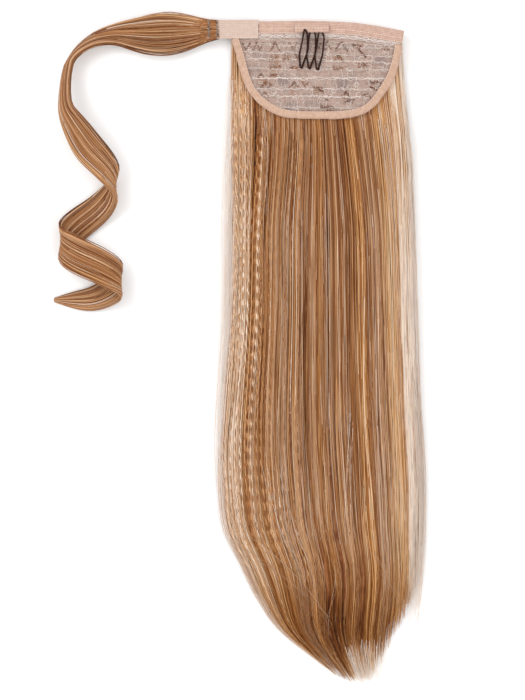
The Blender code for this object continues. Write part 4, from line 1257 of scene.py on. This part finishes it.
# %% A flat strip with two sides
def cloth_slab(name, x, y, level, thickness, finish, hem=0.25 * MM):
    """A thin cloth with both sides, from grids of places and the height of its underside."""
    rows, columns = x.shape
    edge = np.minimum(np.minimum(np.arange(rows), np.arange(rows)[::-1])[:, None],
                      np.minimum(np.arange(columns), np.arange(columns)[::-1])[None, :])
    rounded = np.where(edge == 0, hem, 0.0)
    lower = over_hair(x, y, level)
    upper = over_hair(x, y, level + thickness - rounded)
    points = np.concatenate((upper.reshape(-1, 3), lower.reshape(-1, 3)))
    piece = mesh_piece(name, points, two_sided_faces(rows, columns), finish)
    set_cloth_map(piece.data, np.tile(x.ravel(), 2), np.tile(y.ravel(), 2))
    return piece


def strip_grid(left, right, top, bottom, columns, rows):
    """Grids of x and y over a rectangle of the drawing."""
    return np.meshgrid(np.linspace(left, right, columns), np.linspace(top, bottom, rows))


# %% Hook tape
TAPE_THICKNESS = 1.2 * MM
tape_right = base_x(BAND_START) - SEAT_GAP
x, y = strip_grid(tape_left, tape_right, TAPE_RAISE, TAPE_RAISE - TAPE_WIDTH, 60, 24)
level = UPPER_LEVEL + 0.12 * MM * np.sin(x / (5 * MM)) * np.sin(y / (4 * MM) + 1)
hook_tape = cloth_slab("hook_tape_cloth", x, y, level, TAPE_THICKNESS, hook_finish)
hand_over(hook_tape, "hook", "hook_tape")

# %% [markdown]
# The loose strand is glued and sewn over the left end of this tape, so its hair lies on top of
# the tape there and ends in an uneven line. The strands are the ones of the loose strand's
# surface near its root, lifted over the tape where they cross it.

# %% Hair over the tape's end
TAPE_COVER = 8.5 * MM       # how much of the tape the hair hides


def over_tape(x, y, above):
    """Points at a height above the hook tape's upper side."""
    return over_hair(x, y, UPPER_LEVEL + TAPE_THICKNESS + above)


def root_strands(rng, count):
    """Strands from the tape's end onto the swelling of the loose strand, with their values."""
    stations = loose_strand_frames(6)
    at = np.linspace(0, 1, 16)[None, :]
    index = at * rng.uniform(10, 27, (count, 1))
    before = index.astype(int)
    part = index - before
    middle, broad, out, half_width, half_thick = [
        rows[before] * (1 - part.reshape(part.shape + (1,) * (rows.ndim - 1)))
        + rows[before + 1] * part.reshape(part.shape + (1,) * (rows.ndim - 1))
        for rows in stations]
    across = rng.uniform(-0.99, 0.99, (count, 1)) + 0.05 * wander(rng, count, at, 0.5, 2)
    across = np.clip(across, -1, 1)
    rise = np.sqrt(1 - across ** 2) * (1.05 - 0.12 * at)
    places = (middle + broad * (across * half_width)[..., None]
              + out * (rise * half_thick)[..., None])
    edge = rng.uniform(-1.2, 0.6, (count, 1)) * MM
    first_x = tape_left + TAPE_COVER + PLACE[0] - stations[0][0, 0]
    places[..., 0] += edge * (1 - at) ** 2 + first_x * (1 - at) ** 3
    drawn = places - PLACE
    tape = over_tape(drawn[..., 0], drawn[..., 1], rng.uniform(0.1, 0.6, (count, 1)) * MM)
    on_tape = smooth_step(drawn[..., 0], tape_left - 6 * MM, tape_left - 0.5 * MM)
    places[..., 2] = np.where(on_tape > 0, np.maximum(
        places[..., 2], places[..., 2] * (1 - on_tape) + tape[..., 2] * on_tape), places[..., 2])
    tone = 0.48 + rng.normal(0, 0.13, (count, 1)) + 0.14 * wander(rng, count, at, 1, 4)
    warmth = 0.5 + rng.normal(0, 0.15, (count, 1)) + 0 * at
    thickness = rng.uniform(0.8, 1.2, (count, 1)) * 0.62 * MM * (1 - 0.7 * at)
    return places, tone, warmth, thickness


rng = np.random.default_rng(81)
strand_piece("loose_strand_root", root_strands(rng, 130), "strand", seed=12.0)

# %% Patch over the comb's head
COMB_CENTRE = 0.468
COMB_HEAD = 6.9 * MM
COMB_WIRE = 1.35 * MM
PATCH_WIDTH = 26.0 * MM
PATCH_TOP = 1.6 * MM
PATCH_DEPTH = 7.6 * MM
patch_middle = base_x(COMB_CENTRE)
x, y = strip_grid(patch_middle - PATCH_WIDTH / 2, patch_middle + PATCH_WIDTH / 2,
                  -PATCH_TOP, -PATCH_TOP - PATCH_DEPTH, 40, 14)
over_wire = smooth_step(-y, PATCH_TOP + 0.25 * PATCH_DEPTH, PATCH_TOP + 0.6 * PATCH_DEPTH)
level = WIRE_LEVEL - 0.15 * MM + (COMB_WIRE + 0.2 * MM) * over_wire
patch = cloth_slab("comb_patch_cloth", x, y, level, 0.35 * MM, band_finish, 0.1 * MM)
hand_over(patch, "patch", "comb_patch")

# %% [markdown]
# ## The lace ground
# Between the tapes lies a fine tulle. It looks greyish pink, with greyer places where only
# the tulle is there and browner ones where hair shows through. A point attribute carries
# those patches, and the tulle's threads come from the weave group.

# %% Left and right edge of the base at a distance down
lowest = np.argmax(-curved_edge[:, 1])
left_part = curved_edge[:lowest + 1]
right_part = curved_edge[lowest:][::-1]


def base_sides(down, inset):
    """The drawing's x of the base's two curved sides, moved inwards."""
    left = np.interp(down, -left_part[:, 1], left_part[:, 0])
    right = np.interp(down, -right_part[:, 1], right_part[:, 0])
    return left + inset, right - inset


# %% Grey and brown patches of the lace ground
NET_PATCHES = (
    # px across, px down, half width, half height, grey above 0 and brown below
    (283, 82, 7, 7, 1.0), (341, 87, 7, 8, 0.9), (290, 109, 7, 7, 0.9), (311, 106, 9, 4, 0.6),
    (253, 71, 9, 5, 0.6), (380, 63, 7, 5, 0.9), (350, 82, 6, 5, 0.5), (262, 58, 10, 4, 0.4),
    (275, 65, 5, 8, -0.6), (286, 59, 4, 4, -0.5), (337, 60, 5, 4, -0.6), (361, 69, 6, 5, -0.7),
    (264, 84, 7, 5, -0.6), (317, 94, 6, 5, -0.7), (294, 95, 5, 4, -0.4), (338, 70, 7, 2, -0.6),
    (296, 70, 6, 3, -0.4), (385, 50, 4, 3, -0.4))


DRAWING_START = (331.0, 22.0)   # px across and down of the place where a drawing starts


def px_place(px, py):
    """A place in the drawing from a distance in pixels across and down the picture."""
    return ((np.asarray(px, float) - DRAWING_START[0]) * PIXEL,
            -(np.asarray(py, float) - DRAWING_START[1]) * PIXEL)


# %% Grid of the tulle
TULLE_TOP = 8.5 * MM
TULLE_FOOT = 0.983          # share of the base's depth
TULLE_INSET = 2.2 * MM
TULLE_ROWS = 54
TULLE_COLUMNS = 84
rows = np.linspace(TULLE_TOP, TULLE_FOOT * BASE_DEPTH, TULLE_ROWS)[:, None]
left, right = base_sides(rows, TULLE_INSET)
x = left + (right - left) * np.linspace(0, 1, TULLE_COLUMNS)[None, :]
y = -rows - 0.8 * straight_edge(x) * (1 - smooth_step(rows, 8 * MM, 40 * MM))
sag = 0.18 * MM * np.sin(x / (3.3 * MM) + 2 * np.sin(y / (9 * MM))) * np.sin(y / (2.9 * MM))
tone_patches = np.zeros(x.shape)
for px, py, wide, high, kind in NET_PATCHES:
    cx, cy = px_place(px, py)
    away = ((x - cx) / (wide * PIXEL)) ** 2 + ((y - cy) / (high * PIXEL)) ** 2
    tone_patches += kind * np.exp(-away ** 2)
print("tulle: %d by %d points, %d patches" % (TULLE_ROWS, TULLE_COLUMNS, len(NET_PATCHES)))


# %% Material and sheet of the tulle
def tulle_finish():
    """Fine tulle: pink ground, grey and brown patches from the attribute, woven threads."""
    made, tree, shader = new_material("tulle", Specular_IOR_Level=0.15, Roughness=0.9)
    weave = woven(tree, 0.9, 1.25, 1.4)
    # The ground colour follows the weave's painted light and shade and its mottling.
    mixes = ramp(tree, weave["Light"], ((0.2, (146, 120, 108)), (0.5, (178, 152, 140)),
                                        (0.8, (202, 178, 168))))
    patch = add_node(tree, "ShaderNodeAttribute", attribute_name="patch")
    for low, high, colour in ((0.0, 1.0, (134, 118, 114)), (0.0, -1.0, (146, 102, 66))):
        share = add_node(tree, "ShaderNodeMapRange",
                         {"Value": patch.outputs["Fac"], "From Min": low, "From Max": high,
                          "To Min": 0.0, "To Max": 0.75})
        mix = add_node(tree, "ShaderNodeMix", {"Factor": share.outputs["Result"]},
                       data_type="RGBA")
        tree.links.new(mixes, mix.inputs["A"])
        mix.inputs["B"].default_value = from_bytes(*colour)
        mixes = mix.outputs["Result"]
    dress(tree, shader, mixes, height=weave["Height"], strength=0.8, distance=0.3 * MM)
    return made


tulle = cloth_slab("tulle_ground", x, y, NET_LEVEL + sag, 0.6 * MM, tulle_finish())
patch_values = tulle.data.attributes.new("patch", "FLOAT", "POINT")
patch_values.data.foreach_set("value", np.tile(tone_patches.ravel(), 2).astype(np.float32))
hand_over(tulle, "net", "base_net")

# %% [markdown]
# ## Lace threads and weft rows
# Over the tulle run sewn rows of whitish thread, which hold the hair on the other side, and
# between them a net of cells in a brick pattern. We draw wobbling lines for both and use the
# same tree that makes strands. Each wall of a cell is two threads side by side.

# %% Thread material
def thread_finish(name, dark, light):
    """Cotton thread, a little darker in places, from the thread's own tone."""
    made, tree, shader = new_material(name, Specular_IOR_Level=0.2, Roughness=0.85)
    tone = add_node(tree, "ShaderNodeAttribute", attribute_name="tone")
    dress(tree, shader, ramp(tree, tone.outputs["Fac"], ((0.0, dark), (1.0, light))))
    return made


lace_finish = thread_finish("lace_thread", (160, 132, 118), (250, 236, 228))
WEFT_LINES = (
    # px down at the left, px down at the right
    (39.0, 47.5), (45.5, 50.0), (53.0, 58.5), (60.0, 64.5), (69.5, 72.0), (80.0, 80.5),
    (90.5, 91.5), (97.5, 99.5), (109.0, 110.5))
LACE_FOOT = (117, 117)      # px down at the left and right where the lowest cells end
HEM_LINES = (10.2, 10.7, 11.3, 12.0, 12.9)  # mm below the straight edge
LACE_LEVEL = NET_LEVEL + 0.6 * MM
LACE_INSET = 2.5 * MM
ROW_POINTS = 90
CELL_WIDTH = 7.6 * MM
LOOSE_LOOPS = 420


def base_row(py_left, py_right, count):
    """Places along one row across the base, between its two sides."""
    share = np.linspace(0, 1, count)
    down = (py_left + (py_right - py_left) * share - DRAWING_START[1]) * PIXEL
    left, right = base_sides(down, LACE_INSET)
    return left + (right - left) * share, -down


def lace_lines(rng):
    """Lines of the sewn rows, the cell walls and the loose loops, with their values."""
    lines = []
    tones = []
    thicks = []

    def add_line(x, y, level, tone, thick):
        lines.append(over_hair(x, y, level))
        tones.append(np.full(len(x), tone) + rng.normal(0, 0.05, len(x)))
        thicks.append(np.full(len(x), thick) * MM)

    for below in HEM_LINES:
        left, right = base_sides(below * MM, LACE_INSET)
        x = np.linspace(left, right, ROW_POINTS)
        y = -straight_edge(x) - (below + rng.normal(0, 0.22, ROW_POINTS)) * MM
        add_line(x, y, LACE_LEVEL + rng.uniform(0.5, 0.9) * MM, rng.uniform(0.75, 1.0), 0.6)
    steps = np.arange(ROW_POINTS)
    for at_left, at_right in WEFT_LINES:
        for _ in range(3):
            x, y = base_row(at_left, at_right, ROW_POINTS)
            wobble = np.interp(steps, steps[::3], rng.normal(0, 0.62, ROW_POINTS // 3))
            wave = 0.3 * np.sin(steps * 1.7 + rng.uniform(0, 6))
            add_line(x, y + (wobble + wave) * MM, LACE_LEVEL + rng.uniform(0.1, 0.5) * MM,
                     rng.uniform(0.5, 0.92), rng.uniform(0.3, 0.55))
    for row, (upper, lower) in enumerate(zip(WEFT_LINES, WEFT_LINES[1:] + (LACE_FOOT,))):
        x_top, y_top = base_row(*upper, 200)
        x_low, y_low = base_row(*lower, 200)
        first_wall = x_top[0] + CELL_WIDTH * (0.5 + 0.5 * (row % 2))
        for place in np.arange(first_wall, x_top[-1], CELL_WIDTH):
            place += rng.normal(0, 1.8) * MM
            for _ in range(2):
                start = np.interp(place, x_top, y_top)
                end = np.interp(place, x_low, y_low)
                steps = np.linspace(-0.1, 1.1, 9)
                x = place + (rng.normal(0, 0.5) + rng.normal(0, 1.2) * steps
                             + 0.35 * np.sin(steps * 9 + rng.uniform(0, 6))) * MM
                inside = (x > x_low[0]) & (x < x_low[-1])
                if inside.all():
                    add_line(x, start + (end - start) * steps,
                             LACE_LEVEL + rng.uniform(0.1, 0.4) * MM,
                             rng.uniform(0.3, 0.85), rng.uniform(0.25, 0.42))
    for _ in range(LOOSE_LOOPS):
        px = rng.uniform(243, 392)
        py = rng.uniform(44, 114)
        x, y = px_place(px, py)
        left, right = base_sides(-y, 6.5 * MM)
        if left < x < right:
            turn = np.linspace(0, rng.uniform(2.5, 6.0), 8) + rng.uniform(0, 6)
            wide, high = rng.uniform(0.8, 2.6, 2) * MM
            add_line(x + wide * np.cos(turn), y + high * np.sin(turn),
                     LACE_LEVEL + rng.uniform(0.1, 0.5) * MM, rng.uniform(0.3, 1.0),
                     rng.uniform(0.24, 0.42))
    return lines, tones, thicks


lines, tones, thicks = lace_lines(np.random.default_rng(61))
lace = line_piece("lace_threads", lines, {"tone": np.concatenate(tones),
                                          "thickness": np.concatenate(thicks)},
                  lace_finish, frizz=0.25 * MM, frizz_size=0.003, seed=9.0)
hand_over(lace, "weft", *["weft_track_%d" % i for i in range(1, 7)])

# %% [markdown]
# ## Knots of hair in the lace
# Hair is knotted into the lace in small V and A shapes, which show as dark and golden dots.
# Each knot is a short loop of hair that stands out of the cloth, in the hair's own finish.

# %% Knots
KNOT_SHAPES = (
    # px across, px down, width, height, shape, tone
    (246, 48, 7, 7, "V", 0.22), (253, 48, 7, 8, "V", 0.25), (260, 48, 6, 7, "V", 0.28),
    (275, 48, 9, 8, "A", 0.22), (274, 59, 9, 5, "M", 0.35), (286, 60, 8, 5, "M", 0.30),
    (293, 48, 8, 8, "V", 0.28), (318, 47, 6, 7, "V", 0.20), (327, 47, 6, 9, "A", 0.22),
    (341, 48, 12, 9, "A", 0.15), (338, 60, 9, 6, "A", 0.25), (357, 47, 9, 4, "M", 0.25),
    (361, 54, 9, 10, "D", 0.18), (385, 50, 7, 4, "M", 0.30), (297, 59, 5, 7, "D", 0.25),
    (275, 69, 10, 3, "M", 0.35), (294, 70, 8, 3, "M", 0.38), (338, 70, 11, 3, "M", 0.35),
    (362, 67, 9, 5, "M", 0.25), (261, 77, 6, 4, "A", 0.22), (273, 77, 7, 3, "M", 0.32),
    (266, 86, 10, 6, "M", 0.25), (294, 86, 8, 6, "A", 0.25), (305, 86, 7, 5, "V", 0.30),
    (317, 90, 9, 4, "M", 0.28), (320, 92, 5, 4, "D", 0.15), (374, 84, 12, 3, "M", 0.22),
    (374, 91, 10, 4, "D", 0.20), (345, 96, 7, 5, "A", 0.20), (348, 102, 9, 5, "M", 0.15),
    (367, 98, 11, 4, "M", 0.25), (265, 96, 6, 5, "A", 0.30), (326, 109, 12, 3, "M", 0.20),
    (328, 114, 9, 3, "M", 0.20), (305, 114, 8, 3, "V", 0.40), (326, 102, 2, 2, "M", 0.08))


def knot_places(shape, count, rng):
    """Shares across and down a cluster at which its knots stand."""
    t = np.linspace(0, 1, count)
    if shape in "VA":
        across = t
        down = 1 - np.abs(2 * t - 1) if shape == "V" else np.abs(2 * t - 1)
    elif shape == "D":
        across, down = t, t
    else:
        across, down = t, rng.uniform(0.0, 1.0, count)
    return across + rng.normal(0, 0.06, count), down + rng.normal(0, 0.08, count)


def knot_lines(rng):
    """Short loops of hair at the places of the knots."""
    lines = []
    tones = []
    for px, py, wide, high, shape, tone in KNOT_SHAPES:
        across, down = knot_places(shape, max(int(wide * 1.9), 4), rng)
        xs, ys = px_place(px + (across - 0.5) * wide, py + (down - 0.5) * high)
        for x, y in zip(xs, ys):
            bow = np.linspace(0, pi, 5)
            lean = rng.uniform(0, 2 * pi)
            size = rng.uniform(0.35, 0.8) * MM
            step = np.cos(bow) * size
            level = LACE_LEVEL + 0.25 * MM + np.sin(bow) * 0.5 * MM
            lines.append(over_hair(x + step * np.cos(lean), y + step * np.sin(lean), level))
            tones.append(np.full(5, tone + rng.normal(0, 0.08)))
    return lines, np.concatenate(tones)


rng = np.random.default_rng(71)
lines, tones = knot_lines(rng)
knots = line_piece("hair_knots", lines, {
    "tone": np.clip(tones, 0.02, 0.7), "warmth": rng.uniform(0.5, 0.9, len(tones)),
    "thickness": np.full(len(tones), 0.42 * MM)}, hair_strand_finish, seed=10.0)
hand_over(knots, "hair")

# %% [markdown]
# ## Stitches
# The tapes are sewn down with a cream thread in a straight stitch. Stitches repeat at an even
# pitch along a seam, so a second tree sets a small rounded stitch on points along a line and
# turns each one to follow it.

# %% The tree of stitches along a seam
def build_stitch_tree():
    """A seam's line in, a row of stitches out."""
    tree, given, result = start_tree("stitches_along_seam", (
        ("Pitch", "Float", 0.002), ("Length", "Float", 0.0014), ("Thickness", "Float", 0.0005),
        ("Slant", "Float", 0.0), ("Seed", "Int", 1)))
    seam = add_node(tree, "GeometryNodeMeshToCurve", {"Mesh": given["Geometry"]})
    points = add_node(tree, "GeometryNodeCurveToPoints",
                      {"Curve": seam.outputs["Curve"], "Length": given["Pitch"]}, mode="LENGTH")
    stitch = add_node(tree, "GeometryNodeMeshUVSphere",
                      {"Segments": 6, "Rings": 4, "Radius": 0.5})
    size = add_node(tree, "ShaderNodeCombineXYZ", {"X": given["Thickness"],
                                                   "Y": given["Thickness"],
                                                   "Z": given["Length"]})
    shape = add_node(tree, "GeometryNodeTransform",
                     {"Geometry": stitch.outputs["Mesh"], "Scale": size.outputs["Vector"]})
    spread = add_node(tree, "FunctionNodeRandomValue", {"Seed": given["Seed"]},
                      data_type="FLOAT")
    spread.inputs[2].default_value = -0.12
    spread.inputs[3].default_value = 0.12
    lean = add_node(tree, "ShaderNodeMath", {0: spread.outputs[1], 1: given["Slant"]},
                    operation="ADD")
    turn = add_node(tree, "ShaderNodeCombineXYZ", {"X": lean.outputs["Value"]})
    angle = add_node(tree, "FunctionNodeEulerToRotation", {"Euler": turn.outputs["Vector"]})
    both = add_node(tree, "FunctionNodeRotateRotation",
                    {"Rotation": points.outputs["Rotation"],
                     "Rotate By": angle.outputs["Rotation"]}, rotation_space="LOCAL")
    row = add_node(tree, "GeometryNodeInstanceOnPoints",
                   {"Points": points.outputs["Points"], "Instance": shape.outputs["Geometry"],
                    "Rotation": both.outputs["Rotation"]})
    end_tree(tree, row.outputs["Instances"], given["Finish"], result)
    return tree


stitch_tree = build_stitch_tree()
print("stitch tree:", len(stitch_tree.nodes), "nodes")


# %% Material of the sewing thread
def twisted_thread_finish(name, dark, light):
    """Sewing thread whose twist shows as fine slanting light and dark, painted light and shade
    from a noise that also bumps it.
    """
    made, tree, shader = new_material(name, Specular_IOR_Level=0.25, Roughness=0.8)
    place = add_node(tree, "ShaderNodeTexCoord").outputs["Object"]
    noise = add_node(tree, "ShaderNodeTexNoise", {"Vector": place, "Scale": 1500.0,
                                                  "Detail": 2.0})
    dress(tree, shader, ramp(tree, noise.outputs["Fac"], ((0.35, dark), (0.65, light))),
          height=noise.outputs["Fac"], strength=0.4, distance=0.1 * MM)
    return made


cream_thread = twisted_thread_finish("cream_sewing_thread", (226, 200, 184), (252, 240, 232))


def seam_piece(name, lines, pitch, length, thickness, slant, slot, seed):
    """Rows of stitches along seams."""
    mesh = lines_mesh(name, lines, {})
    piece = plain_copy(name, mesh, stitch_tree, {
        "Pitch": pitch, "Length": length, "Thickness": thickness, "Slant": slant,
        "Seed": seed, "Finish": cream_thread})
    piece.data.polygons.foreach_set("use_smooth", [True] * len(piece.data.polygons))
    hand_over(piece, slot)


# %% Seams of the binding and the band
def inset_line(line, inset, level):
    """A seam that runs beside a line, at a height over the hair."""
    place = line + inward_of(line) * inset
    return over_hair(place[:, 0], place[:, 1], level)


tape_top = LEAF_LEVEL + FOLD_HEIGHT
seam_piece("binding_stitches",
           [inset_line(binding_line, BINDING_WIDTH - 0.5 * MM, tape_top + 0.05 * MM)],
           2.3 * MM, 1.7 * MM, 0.42 * MM, 0.35, "binding", 3)
band_seams = [inset_line(band_line, inset, tape_top + 0.05 * MM)
              for inset in (6.2 * MM, 9.5 * MM)]
seam_piece("band_stitches", band_seams, 2.0 * MM, 1.6 * MM, 0.45 * MM, 0.05, "band", 4)
tape_edge = np.array([(tape_right - 0.7 * MM, TAPE_RAISE - 1 * MM),
                      (tape_right - 0.7 * MM, TAPE_RAISE - TAPE_WIDTH + 0.8 * MM)])
tape_edge = np.stack([np.linspace(tape_edge[0, i], tape_edge[1, i], 12) for i in (0, 1)], 1)
tape_under = np.linspace(tape_right - 19 * MM, tape_right - 1 * MM, 14)
tape_under = np.stack((tape_under, np.full(14, TAPE_RAISE - TAPE_WIDTH + 1.0 * MM)), 1)
tape_level = UPPER_LEVEL + TAPE_THICKNESS + 0.1 * MM
seam_piece("hook_tape_stitches", [over_hair(line[:, 0], line[:, 1], tape_level)
                                  for line in (tape_edge, tape_under)],
           2.0 * MM, 1.5 * MM, 0.4 * MM, 0.1, "hook", 5)

# %% Zigzag seams that hold the loose strand on the tape
ZIGZAG_PITCH = 1.15 * MM


def zigzag_lines(rng):
    """Two seams of dark and cream thread down the tape, with the tone of each."""
    lines = []
    tones = []
    for from_edge, wide in ((1.6 * MM, 1.9 * MM), (TAPE_COVER - 0.6 * MM, 1.5 * MM)):
        for tone in (0.05, 0.15, 0.95):
            y = np.arange(TAPE_RAISE - 0.3 * MM, TAPE_RAISE - TAPE_WIDTH, -ZIGZAG_PITCH / 2)
            side = np.where(np.arange(len(y)) % 2 == 0, 0.5, -0.5)
            x = tape_left + from_edge + wide * side + rng.normal(0, 0.25, len(y)) * MM
            y = y + rng.normal(0, 0.15, len(y)) * MM
            lines.append(over_tape(x, y, 0.85 * MM + 0.2 * MM * rng.uniform(0, 1, len(y))))
            tones.append(np.full(len(y), tone) + rng.normal(0, 0.12, len(y)))
    return lines, np.clip(np.concatenate(tones), 0, 1)


lines, tones = zigzag_lines(np.random.default_rng(91))
zigzag = line_piece("zigzag_seams", lines, {
    "tone": tones, "thickness": np.full(len(tones), 0.38 * MM)},
    thread_finish("zigzag_thread", (84, 50, 30), (248, 236, 226)), seed=13.0)
hand_over(zigzag, "hook")

# %% Seam of the patch
patch_line = np.linspace(patch_middle - PATCH_WIDTH / 2 + 1 * MM,
                         patch_middle + PATCH_WIDTH / 2 - 1 * MM, 20)
seam_piece("patch_stitches", [over_hair(patch_line, np.full(20, -PATCH_TOP - 4.2 * MM),
                                        WIRE_LEVEL + COMB_WIRE + 0.45 * MM)],
           2.4 * MM, 1.8 * MM, 0.4 * MM, 0.05, "patch", 6)

# %% [markdown]
# ## The comb
# The comb is one springy wire bent into three long loops that lean to the left, coated in
# dark brown. Where two loops meet their wires run side by side and cross, so one passes
# above the other. Ten sides make such a wire round from close by.

# %% Wire of the comb
COMB_LOOPS = (
    # px across and down round each loop, from the head down its left side and up again
    ((305.2, 32.0), (303.9, 32.6), (302.3, 41.0), (300.5, 49.8), (299.2, 56.8), (299.5, 61.5),
     (299.7, 66.6), (300.1, 68.6), (301.1, 69.9), (302.2, 68.4), (302.9, 65.5), (305.4, 58.6),
     (306.6, 55.0), (307.1, 49.6), (307.2, 41.0), (306.8, 36.8), (306.2, 33.8)),
    ((312.0, 31.2), (310.2, 33.6), (308.6, 39.3), (308.1, 44.6), (307.6, 51.6), (306.3, 57.6),
     (307.4, 63.9), (307.7, 67.6), (308.2, 69.5), (309.2, 70.6), (310.3, 69.2), (311.0, 66.3),
     (313.9, 58.0), (315.0, 51.6), (315.3, 41.0), (315.1, 37.2), (313.9, 33.5)),
    ((320.2, 31.6), (318.6, 34.6), (317.2, 41.0), (316.1, 49.8), (314.4, 57.6), (315.4, 64.9),
     (315.7, 68.6), (316.2, 70.4), (317.2, 71.5), (318.3, 70.1), (319.0, 67.0), (321.9, 57.0),
     (322.7, 49.8), (323.2, 44.6), (323.6, 40.0), (322.9, 36.8), (321.6, 33.6)))


def rounded_loop(places, count):
    """A smooth closed line through a loop's places."""
    table = [(i, *places[i % len(places)]) for i in range(-2, len(places) + 3)]
    px, py = read_table(table, np.linspace(0, len(places), count))
    return px_place(px, py)


LOOP_POINTS = 90
LOOP_FOOT = 36.9 * MM       # how far below the straight edge the loops end


def comb_lines():
    """The three loops, one above the other where they cross, and the head wire."""
    lines = []
    for number, loop in enumerate(COMB_LOOPS):
        x, y = rounded_loop(loop, LOOP_POINTS)
        under_band = 1 - smooth_step(-y, BAND_WIDTH, LOOP_FOOT)
        level = UPPER_LEVEL + (WIRE_LEVEL - UPPER_LEVEL) * under_band + COMB_WIRE / 2
        turn = np.linspace(0, 2 * pi, LOOP_POINTS)
        level = level + 0.35 * MM * np.sin(turn) * (1 - under_band) + 0.1 * MM * number
        if number == 0:
            arch = 1 - smooth_step(-y, 8.0 * MM, 12.0 * MM)
            level = level + arch * (COMB_WIRE + 0.6 * MM)
        lines.append(over_hair(x, y, level))
    x = np.linspace(patch_middle - 8.5 * MM, patch_middle + 8.5 * MM, 12)
    lines.append(over_hair(x, np.full(12, -COMB_HEAD), WIRE_LEVEL + COMB_WIRE / 2))
    return lines


def wire_finish():
    """Steel wire in a dark brown coat, rubbed thinner in places."""
    made, tree, shader = new_material("coated_wire", Specular_IOR_Level=0.12)
    place = add_node(tree, "ShaderNodeTexCoord").outputs["Object"]
    noise = add_node(tree, "ShaderNodeTexNoise", {"Vector": place, "Scale": 260.0,
                                                  "Detail": 4.0})
    rough = add_node(tree, "ShaderNodeMapRange", {"Value": noise.outputs["Fac"],
                                                  "To Min": 0.4, "To Max": 0.65})
    dress(tree, shader,
          ramp(tree, noise.outputs["Fac"], ((0.35, (30, 12, 6)), (0.7, (58, 26, 15)))),
          rough.outputs["Result"], noise.outputs["Fac"], 0.2, 0.1 * MM)
    return made


lines = comb_lines()
count = sum(len(line) for line in lines)
comb = line_piece("comb_wire_loops", lines, {"thickness": np.full(count, COMB_WIRE)},
                  wire_finish(), sides=10, seed=11.0)
hand_over(comb, "wire", "wire_comb")
